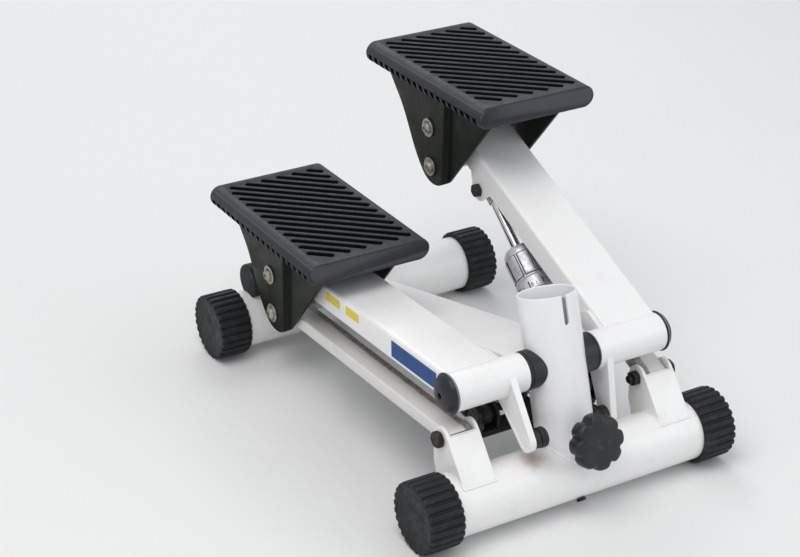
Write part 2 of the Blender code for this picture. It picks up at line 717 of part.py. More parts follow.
def build_channel(name, side, angle, paint):
    """Arm: inverted channel with a gusset at the sleeve and damper lugs."""
    end = ARM_RADIUS + ARM_TAIL
    corner = 9.0
    shape = [(8.0, ARM_BOTTOM), (8.0, ARM_TOP), (end, ARM_TOP)]
    shape += arc((end - corner, ARM_BOTTOM + corner), corner, 0, -90, 8)
    outline = [from_arm(angle, t, h) for t, h in shape]
    centre = side * ARM_X
    half = ARM_WIDTH / 2
    channel = prism(name, outline, centre - half, centre + half, paint)
    inner = [(-20.0, -60.0), (-20.0, ARM_TOP - ARM_SHEET), (end + 30, ARM_TOP - ARM_SHEET), (end + 30, -60.0)]
    inner = [from_arm(angle, t, h) for t, h in inner]
    half -= ARM_SHEET
    cut(channel, prism("inner", inner, centre - half, centre + half, paint))
    head = (DAMPER_HEAD_ALONG, DAMPER_HEAD_HEIGHT)
    inner_face = ARM_X - ARM_WIDTH / 2
    lugs = ((inner_face, ARM_SHEET, ARM_BOTTOM + 3), (0.0, DAMPER_EAR_SHEET, ARM_TOP - ARM_SHEET + 0.6))
    second = inner_face + ARM_SHEET + DAMPER_EAR_GAP
    for start, sheet, top in (lugs[0], (second, lugs[1][1], lugs[1][2])):
        shape = hull([(head, DAMPER_EAR_R), ((head[0] - 20, top), 0), ((head[0] + 22, top), 0)], 36)
        outline = [from_arm(angle, t, h) for t, h in shape]
        x0, x1 = sorted((side * start, side * (start + sheet)))
        weld(channel, prism("lug", outline, x0, x1, paint))
    shape = [(10.0, 13.5), (36.0, 13.5), (44.0, 4.0), (44.0, ARM_BOTTOM + 1.5), (12.0, ARM_BOTTOM + 1.5)]
    outline = [from_arm(angle, t, h) for t, h in shape]
    x0, x1 = sorted((side * (inner_face - 4.0), side * (inner_face + 0.5)))
    weld(channel, prism("gusset", outline, x0, x1, paint))
    y, z = from_arm(angle, *head)
    reach = second + DAMPER_EAR_SHEET + 3.0
    start = inner_face - DAMPER_EAR_GAP
    bolt_hole = rod("hole", (side * start, y, z), (side * reach, y, z), DAMPER_PIN_R + GAP, paint, SMALL_SEG)
    cut(channel, bolt_hole)
    y, z = from_arm(angle, ARM_RADIUS, 0.0)
    ends = [(centre - ARM_WIDTH, y, z), (centre + ARM_WIDTH, y, z)]
    cut(channel, rod("hole", *ends, PEDAL_BOLT_R + RUN, paint, SMALL_SEG))
    return cut(channel, sleeve_cutter("saddle", paint))


def sleeve_cutter(name, material):
    """Solid cylinder on the arms' pivot with the touching gap."""
    reach = X_AXIS * 2 * SLEEVE_OUT
    return rod(name, PIVOT - reach, PIVOT + reach, SLEEVE_R + GAP, material)


def build_lever(name, side, angle, paint):
    """Tapered lever under a sleeve's inner end, with the pin at its tip."""
    tip = lever_tip(angle)
    outline = hull([((PIVOT.y, PIVOT.z), LEVER_ROOT_R), (tip, LEVER_TIP_R)], 28)
    x0, x1 = sorted((lever_x(side, LEVER_IN), lever_x(side, LEVER_OUT)))
    lever = prism(name, outline, x0, x1, paint)
    cut(lever, sleeve_cutter("saddle", paint))
    start = Vector((lever_x(side, LEVER_IN + 3.0), tip[0], tip[1]))
    end = Vector((lever_x(side, LEVER_STOP_IN + 0.6), tip[0], tip[1]))
    return weld(lever, rod("pin", start, end, LEVER_PIN_R, paint, SMALL_SEG))


def build_lever_stop(name, side, angle, rubber):
    """Rubber buffer ring on a lever's pin, beside the post."""
    y, z = lever_tip(angle)
    outer = LEVER_IN - GAP - LINK_EYE_WIDTH - 0.8
    width = outer - LEVER_STOP_IN
    profile = [(0.0, LEVER_PIN_R + GAP), (0.0, LEVER_STOP_R - 1.2), (1.2, LEVER_STOP_R)]
    profile.append((width - 1.2, LEVER_STOP_R))
    profile += [(width, LEVER_STOP_R - 1.2), (width, LEVER_PIN_R + GAP)]
    start = (lever_x(side, LEVER_STOP_IN), y, z)
    return lathe(name, start, X_AXIS * side, profile, rubber, 20, closed=True)


def build_damper_bolt(name, side, angle, steel):
    """Bolt through the two lugs and the damper's upper eye."""
    y, z = from_arm(angle, DAMPER_HEAD_ALONG, DAMPER_HEAD_HEIGHT)
    face = ARM_X - ARM_WIDTH / 2 - GAP
    far = ARM_X - ARM_WIDTH / 2 + ARM_SHEET + DAMPER_EAR_GAP + DAMPER_EAR_SHEET + 2.0
    origin = Vector((0.0, y, z))
    bolt = lathe(name, origin, X_AXIS * side, bolt_profile([(face, far, DAMPER_PIN_R)]), steel, SMALL_SEG)
    head = hex_head("head", origin + X_AXIS * side * (face + 0.02), -X_AXIS * side, 7.6, 5.6, steel)
    return weld(bolt, head)


def build_bar(name, side, angle, paint):
    """Lower bar: narrow inverted channel between clevis and pedal carrier."""
    r = BAR_HALF_HEIGHT
    shape = arc((0.0, 0.0), r, 90, 270, 16) + arc((ARM_RADIUS, 0.0), r, -90, 90, 16)
    outline = [from_arm(angle, t, h, BAR_PIVOT) for t, h in shape]
    centre = side * BAR_X
    half = BAR_WIDTH / 2
    bar = prism(name, outline, centre - half, centre + half, paint)
    inner = [(-30.0, -40.0), (-30.0, r - BAR_SHEET)]
    inner += [(ARM_RADIUS + 30, r - BAR_SHEET), (ARM_RADIUS + 30, -40.0)]
    inner = [from_arm(angle, t, h, BAR_PIVOT) for t, h in inner]
    half -= BAR_SHEET
    cut(bar, prism("inner", inner, centre - half, centre + half, paint))
    for distance, radius in ((0.0, CLEVIS_BOLT_R), (ARM_RADIUS, PEDAL_BOLT_R)):
        y, z = from_arm(angle, distance, 0.0, BAR_PIVOT)
        ends = [(centre - BAR_WIDTH, y, z), (centre + BAR_WIDTH, y, z)]
        cut(bar, rod("hole", *ends, radius + RUN, paint, SMALL_SEG))
    return bar


# pedals

def pedal_points(angle):
    """World (y, z) of a pedal's upper and lower bolts."""
    return from_arm(angle, ARM_RADIUS, 0.0), from_arm(angle, ARM_RADIUS, 0.0, BAR_PIVOT)


def panel_edge(edge, dz):
    """Distance of a panel's slanting edge from the upper bolt at a height."""
    start, lean = edge
    return start + dz * lean


def build_carrier(name, side, angle, black):
    """Bent carrier: two side plates with raised panels under the foot plate."""
    (y, z), (lower_y, lower_z) = pedal_points(angle)
    centre = side * ARM_X
    corner = PLATE_CORNER
    outline = hull([(PLATE_TIP, PLATE_TIP_R), ((PLATE_REAR - corner, PLATE_TOP - corner), corner),
                    ((PLATE_FRONT + corner, PLATE_TOP - corner), corner)], 28)
    outline = [(y + dy, z + dz) for dy, dz in outline]
    carrier = prism(name, outline, centre - PLATE_HALF_WIDTH, centre + PLATE_HALF_WIDTH, black)
    flat = PLATE_HALF_WIDTH - PLATE_STEP
    roof = PLATE_TOP - PLATE_SHEET
    below = PLATE_TIP[1] - 2 * PLATE_TIP_R
    reach = PLATE_REAR - PLATE_FRONT
    for hand in (-1, 1):
        for edge, out, foot, fall in ((PANEL_REAR, 1, PANEL_END, reach), (PANEL_FRONT, -1, below, 0.0)):
            rings = []
            for x, grow in ((flat, PANEL_BEND), (flat + PLATE_STEP * 1.5, -PANEL_BEND / 2)):
                low = y + panel_edge(edge, foot) + out * grow
                high = y + panel_edge(edge, PLATE_TOP + PLATE_TIP_R) + out * grow
                over = z + PLATE_TOP + PLATE_TIP_R
                ring = [(low, z + foot), (low + out * reach, z + foot - fall), (high + out * reach, over), (high, over)]
                ring = [(centre + hand * x, a, b) for a, b in ring]
                rings.append(ring)
            cut(carrier, loft("step", rings, black))
    inside = flat - PLATE_SHEET
    pocket = [(y - reach, z + below), (y + reach, z + below), (y + reach, z + roof), (y - reach, z + roof)]
    cut(carrier, prism("pocket", pocket, centre - inside, centre + inside, black))
    recess = []
    for dz, edge, inset in ((below, PANEL_FRONT, PLATE_SHEET), (roof, PANEL_FRONT, PLATE_SHEET),
                            (roof, PANEL_REAR, -PLATE_SHEET),
                            (PANEL_END - PLATE_SHEET, PANEL_REAR, -PLATE_SHEET)):
        recess.append((y + panel_edge(edge, dz) + inset, z + dz))
    recess.append((recess[-1][0] + reach, recess[-1][1] - reach))
    deep = PLATE_HALF_WIDTH - PLATE_SHEET
    cut(carrier, prism("recess", recess, centre - deep, centre + deep, black))
    for hole_y, hole_z in ((y, z), (lower_y, lower_z)):
        hole = rod("hole", (centre - 2 * flat, hole_y, hole_z), (centre + 2 * flat, hole_y, hole_z),
                   PEDAL_BOLT_R + GAP, black, SMALL_SEG)
        cut(carrier, hole)
    return carrier


def build_pedal_bolt(name, side, point, spans, steel):
    """Through bolt with a washer and head at each end; spans are its spacers."""
    plate = PLATE_HALF_WIDTH + GAP
    stations = [(-plate - 5.6, -plate - 1.8, 6.6), (-plate - 1.8, -plate, 10.2)]
    last = -plate
    for start, end in spans:
        stations.append((last, start, PEDAL_BOLT_R))
        stations.append((start, end, 8.0))
        last = end
    stations.append((last, plate, PEDAL_BOLT_R))
    stations += [(plate, plate + 1.8, 10.2), (plate + 1.8, plate + 5.6, 6.6)]
    origin = (side * ARM_X, point[0], point[1])
    return lathe(name, origin, X_AXIS * side, bolt_profile(stations), steel, SMALL_SEG)


def build_tread(name, side, angle, plastic):
    """Foot plate with rounded long edges and slanting grooves."""
    (y, z), _ = pedal_points(angle)
    centre = Vector((side * ARM_X, y + TREAD_DY, z + TREAD_TOP))
    r = TREAD_THICK / 2
    reach = TREAD_WIDTH / 2 - r
    section = arc((-reach, -r), r, 90, 270, 14) + arc((reach, -r), r, -90, 90, 14)
    rings = []
    for along, inset in ((-TREAD_LENGTH / 2, 1.4), (-TREAD_LENGTH / 2 + 1.4, 0.0),
                         (TREAD_LENGTH / 2 - 1.4, 0.0), (TREAD_LENGTH / 2, 1.4)):
        shrink = (r - inset) / r
        ring = [centre + Vector((x - math.copysign(inset, x) if abs(x) > reach else x, along,
                                 -r + (h + r) * shrink)) for x, h in section]
        rings.append(ring)
    tread = loft(name, rings, plastic)
    turn = math.radians(GROOVE_ANGLE)
    along = Vector((math.cos(turn), math.sin(turn)))
    across = Vector((-math.sin(turn), math.cos(turn)))
    bm = bmesh.new()
    count = 12
    for i in range(-count, count + 1):
        middle = across * (i * GROOVE_PITCH)
        reach_low, reach_high = -2 * TREAD_LENGTH, 2 * TREAD_LENGTH
        for limit, m, d in ((GROOVE_HALF_X, middle.x, along.x), (GROOVE_HALF_Y, middle.y, along.y)):
            ends = sorted(((-limit - m) / d, (limit - m) / d))
            reach_low = max(reach_low, ends[0])
            reach_high = min(reach_high, ends[1])
        if reach_high - reach_low < 14.0:
            continue
        w = GROOVE_WIDTH / 2
        loops = []
        for h, shrink in ((-GROOVE_DEPTH, 1.2), (0.0, 0.0), (4.0, 0.0)):
            outline = []
            for t, s in ((reach_low + shrink, -w + shrink / 2), (reach_high - shrink, -w + shrink / 2),
                         (reach_high - shrink, w - shrink / 2), (reach_low + shrink, w - shrink / 2)):
                flat = middle + along * t + across * s
                outline.append(bm.verts.new(centre + Vector((flat.x, flat.y, h))))
            loops.append(outline)
        bm.faces.new(loops[0])
        bm.faces.new(loops[-1])
        for low, high in zip(loops, loops[1:]):
            for k in range(4):
                n = (k + 1) % 4
                bm.faces.new((low[k], low[n], high[n], high[k]))
    return cut(tread, add_object("grooves", bm, plastic))


# rocker and links

def ball_point(side):
    """Centre of a rocker ball at rest; the left end is the forward one."""
    turn = math.radians(ROCKER_REST)
    return Vector((side * ROCKER_ARM * math.cos(turn), ROCKER_Y + side * ROCKER_ARM * math.sin(turn), BALL_Z))


def build_rocker(black):
    """Flat rocker that swaps the two levers' strokes."""
    ends = [ball_point(-1), ball_point(1)]
    discs = [((0.0, ROCKER_Y), 12.0)] + [((p.x, p.y), 7.5) for p in ends]
    rocker = slab("rocker", hull(discs, 28), ROCKER_LOW, ROCKER_LOW + ROCKER_THICK, black)
    cut(rocker, rod("hole", (0, ROCKER_Y, 60), (0, ROCKER_Y, 90), SCREW_R + RUN, black, SMALL_SEG))
    for p in ends:
        cut(rocker, rod("hole", (p.x, p.y, 60), (p.x, p.y, 90), 3.0 + GAP, black, SMALL_SEG))
    return rocker


def build_stud(name, side, steel):
    """Ball stud standing on one end of the rocker."""
    top = ROCKER_LOW + ROCKER_THICK + GAP
    p = ball_point(side)
    profile = [(ROCKER_LOW + 0.5, 0.0), (ROCKER_LOW + 0.5, 3.0), (top, 3.0), (top, 5.6), (top + 2.0, 5.6)]
    profile += [(top + 2.0, 3.0)]
    for i in range(1, 6):
        turn = math.radians(-50 + 140 * i / 6)
        profile.append((BALL_Z + BALL_R * math.sin(turn), BALL_R * math.cos(turn)))
    profile.append((BALL_Z + BALL_R, 0.0))
    return lathe(name, (p.x, p.y, 0.0), (0, 0, 1), profile, steel, SMALL_SEG)


def build_link(name, side, angle, black):
    """Link from a lever's pin to a rocker ball, open at the ball."""
    y, z = lever_tip(angle)
    near = Vector((lever_x(side, LEVER_IN - GAP - 0.2 - LINK_EYE_WIDTH / 2), y, z))
    ball = ball_point(side)
    far = Vector((side * LINK_END_X, ball.y, BALL_Z))
    half = X_AXIS * (LINK_EYE_WIDTH / 2)
    link = rod(name, near - half, near + half, LINK_EYE_R, black, 20)
    run = (Vector((near.x, far.y, far.z)) - near).normalized()
    first, second, middle = LINK_BEND
    knee = near + run * first
    weld(link, rod("rod", near + run * (LEVER_PIN_R + 1.5), knee + run * 0.5, LINK_ROD_R, black, 10))
    bend = near + run * second
    bend.x = side * min(middle, abs(near.x) - 2.0)
    slant = (bend - knee).normalized()
    weld(link, rod("rod", knee, bend + slant * 0.5, LINK_ROD_R - 0.1, black, 10))
    last = (far - bend).normalized()
    weld(link, rod("rod", bend, far - last * (BALL_R + 1.0), LINK_ROD_R - 0.2, black, 10))
    eye_r = BALL_R + BALL_PLAY + 2.6
    weld(link, rod("eye", far - Vector((0, 0, 3.6)), far + Vector((0, 0, 3.6)), eye_r, black, 20))
    cut(link, rod("hole", near - half * 3, near + half * 3, LEVER_PIN_R + RUN, black, 16))
    hole_ends = (far - Vector((0, 0, 9)), far + Vector((0, 0, 9)))
    return cut(link, rod("hole", *hole_ends, BALL_R + BALL_PLAY, black, 20))


# dampers

def damper_line(side, angle):
    """Foot, unit direction and eye-to-eye length of a damper at rest."""
    foot = damper_foot(side)
    y, z = from_arm(angle, DAMPER_HEAD_ALONG, DAMPER_HEAD_HEIGHT)
    lengths = []
    for turn in (ARM_LOW, ARM_HIGH):
        end = from_arm(turn, DAMPER_HEAD_ALONG, DAMPER_HEAD_HEIGHT)
        lengths.append(math.hypot(end[0] - foot.y, end[1] - foot.z))
    lean = (DAMPER_HEAD_X - DAMPER_FOOT_X) / (sum(lengths) / 2)
    flat = math.hypot(y - foot.y, z - foot.z)
    direction = Vector((side * lean, (y - foot.y) / flat, (z - foot.z) / flat))
    return foot, direction.normalized(), flat * math.sqrt(1 + lean * lean)


def build_damper_body(name, side, angle, dark):
    """Oil cylinder with its lower eye and the marked collar."""
    foot, run, _ = damper_line(side, angle)
    bore = DAMPER_ROD_R + 0.6
    start = DAMPER_EAR_R + 1.6
    profile = [(6.0, 0.0), (6.0, 6.6), (start, 6.6), (start, DAMPER_BODY_R - 1.4)]
    profile.append((start + 1.4, DAMPER_BODY_R))
    profile += [(DAMPER_BODY_END, DAMPER_BODY_R), (DAMPER_BODY_END, DAMPER_COLLAR_R - 0.8)]
    profile += [(DAMPER_BODY_END + 0.8, DAMPER_COLLAR_R), (DAMPER_COLLAR_END - 0.8, DAMPER_COLLAR_R)]
    profile += [(DAMPER_COLLAR_END, DAMPER_COLLAR_R - 0.8), (DAMPER_COLLAR_END, bore)]
    profile += [(24.0, bore), (24.0, 0.0)]
    body = lathe(name, foot, run, profile, dark, 24)
    half = X_AXIS * (DAMPER_EYE_WIDTH / 2)
    weld(body, rod("eye", foot - half, foot + half, DAMPER_EYE_R, dark, 20))
    return cut(body, rod("hole", foot - half * 2, foot + half * 2, SCREW_R + RUN, dark, SMALL_SEG))


def build_dial(name, side, angle, metal):
    """Turning sleeve with raised flat panels that sets the resistance."""
    foot, run, _ = damper_line(side, angle)
    across, up = frame_along(run)
    panels = 8
    steps = 4
    rings = []
    start = DAMPER_COLLAR_END + 0.4
    end = DAMPER_DIAL_END
    fall = DAMPER_DIAL_R - DAMPER_DIAL_TIP_R
    shoulder = end - DAMPER_DIAL_SHOULDER
    stations = [(start, 0.8, 0.0), (start + 1.6, 0.0, 0.0), (start + 2.8, 0.0, 1.0)]
    stations += [(shoulder - 1.2, 0.0, 1.0), (shoulder, 0.0, 0.0)]
    stations += [(shoulder + DAMPER_DIAL_SHOULDER * math.sin(turn), fall * (1 - math.cos(turn)), 0.0)
                 for turn in (math.radians(35), math.radians(62), math.radians(90))]
    for along, inset, raised in stations:
        ring = []
        for i in range(panels * steps):
            turn = 2 * math.pi * i / (panels * steps)
            part = (i % steps) / steps
            lift = 1.1 * raised if 0.1 < part < 0.9 else 0.0
            radius = DAMPER_DIAL_R - 1.1 + lift - inset
            ring.append(foot + run * along + radius * (math.cos(turn) * across + math.sin(turn) * up))
        rings.append(ring)
    dial = loft(name, rings, metal)
    bore_ends = (foot + run * (start - 5), foot + run * (end + 5))
    return cut(dial, rod("bore", *bore_ends, DAMPER_ROD_R + 0.6, metal, 20))


def build_damper_rod(name, side, angle, chrome):
    """Chromed rod with its upper eye, loose on the arm's bolt."""
    foot, run, length = damper_line(side, angle)
    stroke_start = length - 172.0
    head = foot + run * length
    profile = [(stroke_start, 0.0), (stroke_start, DAMPER_ROD_R - 0.8), (stroke_start + 0.8, DAMPER_ROD_R)]
    profile += [(length - 4.0, DAMPER_ROD_R), (length - 4.0, 0.0)]
    shaft = lathe(name, foot, run, profile, chrome, 20)
    half = X_AXIS * (DAMPER_EYE_WIDTH / 2)
    weld(shaft, rod("eye", head - half, head + half, DAMPER_EYE_R, chrome, 20))
    return cut(shaft, rod("hole", head - half * 2, head + half * 2, DAMPER_EYE_BORE, chrome, 20))


def main():
    for obj in list(bpy.data.objects):
        bpy.data.objects.remove(obj)

    white = finish("white_paint", (0.85, 0.85, 0.83), 0.32)
    rubber = finish("black_rubber", (0.028, 0.030, 0.034), 0.72)
    plastic = finish("black_plastic", (0.035, 0.036, 0.040), 0.48)
    black = finish("black_paint", (0.040, 0.042, 0.042), 0.42)
    grey = finish("grey_plastic", (0.060, 0.063, 0.070), 0.60)
    zinc = finish("zinc_steel", (0.62, 0.60, 0.56), 0.38, 1.0)
    satin = finish("satin_metal", (0.55, 0.55, 0.58), 0.35, 0.9)
    chrome = finish("chrome", (0.80, 0.80, 0.81), 0.10, 1.0)

    base_tube("front_tube", FRONT_TUBE_Y, white)
    base_tube("rear_tube", REAR_TUBE_Y, white)
    for side, hand in ((-1, "left"), (1, "right")):
        foot_cap("front_cap_" + hand, side, FRONT_TUBE_Y, rubber)
        foot_cap("rear_cap_" + hand, side, REAR_TUBE_Y, rubber)
    build_post(white)
    build_spine(white)
    reach = X_AXIS * (SLEEVE_OUT + SHAFT_END)
    rod("pivot_shaft", PIVOT - reach, PIVOT + reach, SHAFT_R, zinc, 20)
    build_cross_bar(black)
    build_rocker_pin(zinc)
    build_rear_stop(rubber)
    build_tube_screw(zinc)
    build_knob(plastic)
    build_knob_screw(zinc)
    build_rocker(black)

    for side, hand, angle in ((-1, "left", ARM_LOW), (1, "right", ARM_HIGH)):
        build_spacer(hand + "_spacer", side, plastic)
        build_clevis(hand + "_clevis", side, white)
        build_clevis_bolt(hand + "_clevis_bolt", side, zinc)
        build_damper_mount(hand + "_damper_mount", side, black)
        build_sleeve(hand + "_sleeve", side, white)
        build_bush(hand + "_bush", side, plastic)
        build_end_cap(hand + "_end_cap", side, plastic)
        build_channel(hand + "_arm_channel", side, angle, white)
        build_lever(hand + "_lever", side, angle, white)
        build_lever_stop(hand + "_lever_stop", side, angle, rubber)
        build_stud(hand + "_stud", side, zinc)
        build_damper_bolt(hand + "_damper_bolt", side, angle, zinc)
        build_bar(hand + "_lower_bar", side, angle, white)
        build_carrier(hand + "_carrier", side, angle, black)
        upper, lower = pedal_points(angle)
        inside = PLATE_HALF_WIDTH - PLATE_SHEET - GAP
        arm_face = ARM_WIDTH / 2 + GAP
        build_pedal_bolt(hand + "_upper_bolt", side, upper, [(-inside, -arm_face), (arm_face, inside)], zinc)
        bar_out = BAR_X - ARM_X + BAR_WIDTH / 2 + GAP
        bar_in = BAR_X - ARM_X - BAR_WIDTH / 2 - GAP
        build_pedal_bolt(hand + "_lower_bolt", side, lower, [(-inside, bar_in), (bar_out, inside)], zinc)
        build_tread(hand + "_tread", side, angle, grey)
        build_link(hand + "_link", side, angle, black)
        build_damper_body(hand + "_damper_body", side, angle, black)
        build_dial(hand + "_dial", side, angle, satin)
        build_damper_rod(hand + "_damper_rod", side, angle, chrome)

    for obj in bpy.data.objects:
        obj.data.shade_smooth()
        obj.data.set_sharp_from_angle(angle=math.radians(32))


main()
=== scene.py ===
"""Looks of a mini stepper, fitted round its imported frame.

Lengths are millimetres and angles are degrees unless a name says otherwise.
The row frame has +X to the right of someone facing the knob's side, +Y from
the knob towards the foot plates and +Z up.
"""

import json
import logging
import math
from dataclasses import dataclass
from enum import Enum
from typing import Callable, Optional, Protocol, Sequence

import bmesh
import bpy
from mathutils import Matrix, Vector


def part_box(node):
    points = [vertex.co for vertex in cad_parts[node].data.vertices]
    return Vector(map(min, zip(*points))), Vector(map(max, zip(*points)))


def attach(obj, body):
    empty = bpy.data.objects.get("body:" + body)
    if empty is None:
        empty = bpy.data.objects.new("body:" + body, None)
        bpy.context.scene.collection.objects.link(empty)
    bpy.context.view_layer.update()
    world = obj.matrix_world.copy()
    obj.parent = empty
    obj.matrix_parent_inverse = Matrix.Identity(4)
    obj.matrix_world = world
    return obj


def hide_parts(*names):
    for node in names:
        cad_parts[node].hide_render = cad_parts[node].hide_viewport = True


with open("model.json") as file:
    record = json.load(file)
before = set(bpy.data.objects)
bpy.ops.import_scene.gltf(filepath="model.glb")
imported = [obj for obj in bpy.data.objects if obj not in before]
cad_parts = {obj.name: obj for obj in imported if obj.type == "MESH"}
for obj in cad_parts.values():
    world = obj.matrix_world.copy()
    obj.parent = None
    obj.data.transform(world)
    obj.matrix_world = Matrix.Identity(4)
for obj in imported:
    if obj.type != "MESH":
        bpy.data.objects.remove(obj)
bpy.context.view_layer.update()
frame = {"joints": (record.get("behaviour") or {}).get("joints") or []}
MM = 0.001
LOG = logging.getLogger("stepper")
Point = tuple[float, float]
Place = tuple[float, float, float]
Piece = bpy.types.Object
Socket = bpy.types.NodeSocket
X_AXIS = Vector((1.0, 0.0, 0.0))
Z_AXIS = Vector((0.0, 0.0, 1.0))


class Side(Enum):
    """The two halves of the machine, valued by the sign of X."""

    LEFT = -1
    RIGHT = 1

    @property
    def word(self) -> str:
        """Name used in the frame's node and body names."""
        return self.name.lower()

    @property
    def sign(self) -> int:
        """Sign of X on this side."""
        return self.value


# outlines


class Outline:
    """Flat outlines and profiles as lists of (a, b) points."""

    @staticmethod
    def arc(centre: Point, radius: float, start: float, end: float, steps: int) -> list[Point]:
        """Points on an arc, both ends included.

        Args:
            centre: Middle of the arc.
            radius: Its radius.
            start: First angle.
            end: Last angle.
            steps: Number of chords.

        Returns:
            steps + 1 points.
        """
        turns = [math.radians(start + (end - start) * i / steps) for i in range(steps + 1)]
        return [(centre[0] + radius * math.cos(t), centre[1] + radius * math.sin(t)) for t in turns]

    @staticmethod
    def eased(points: Sequence[Sequence[float]], radius: float, closed: bool = True,
              steps: int = 4) -> list[Point]:
        """Rounds the corners of an outline.

        Args:
            points: Corners as (a, b), or (a, b, radius) for a corner with a radius of its own.
            radius: Radius of the other corners.
            closed: Whether the last point joins the first.
            steps: Chords in each rounded corner.

        Returns:
            The outline with its corners rounded.
        """
        result: list[Point] = []
        count = len(points)
        for i, corner in enumerate(points):
            here = Vector(corner[:2])
            wanted = corner[2] if len(corner) > 2 else radius
            if wanted <= 0 or (not closed and i in (0, count - 1)):
                result.append((here.x, here.y))
                continue
            back = Vector(points[i - 1][:2]) - here
            ahead = Vector(points[(i + 1) % count][:2]) - here
            angle = back.angle(ahead, math.pi)
            if angle > math.radians(172):
                result.append((here.x, here.y))
                continue
            reach = min(wanted / math.tan(angle / 2), 0.46 * back.length, 0.46 * ahead.length)
            first = here + back.normalized() * reach
            last = here + ahead.normalized() * reach
            for k in range(steps + 1):
                t = k / steps
                spot = first * (1 - t) ** 2 + here * 2 * t * (1 - t) + last * t * t
                result.append((spot.x, spot.y))
        return result

    @staticmethod
    def hull(discs: Sequence[tuple[Point, float]], steps: int = 64) -> list[Point]:
        """Convex outline round a set of discs.

        Args:
            discs: Centre and radius of each disc.
            steps: Points round each disc.

        Returns:
            The outline, counterclockwise.
        """
        cloud: list[Point] = []
        for centre, radius in discs:
            cloud.extend(Outline.arc(centre, max(radius, 1e-3), 0, 360 - 360 / steps, steps - 1))
        cloud = sorted({(round(a, 5), round(b, 5)) for a, b in cloud})

        def chain(row: Sequence[Point]) -> list[Point]:
            """One side of the hull.

            Args:
                row: Points in order.

            Returns:
                Those on the hull, without the last.
            """
            kept: list[Point] = []
            for p in row:
                while len(kept) > 1:
                    (ax, ay), (bx, by) = kept[-2], kept[-1]
                    if (bx - ax) * (p[1] - ay) - (by - ay) * (p[0] - ax) > 1e-7:
                        break
                    kept.pop()
                kept.append(p)
            return kept[:-1]

        return chain(cloud) + chain(cloud[::-1])


# meshes


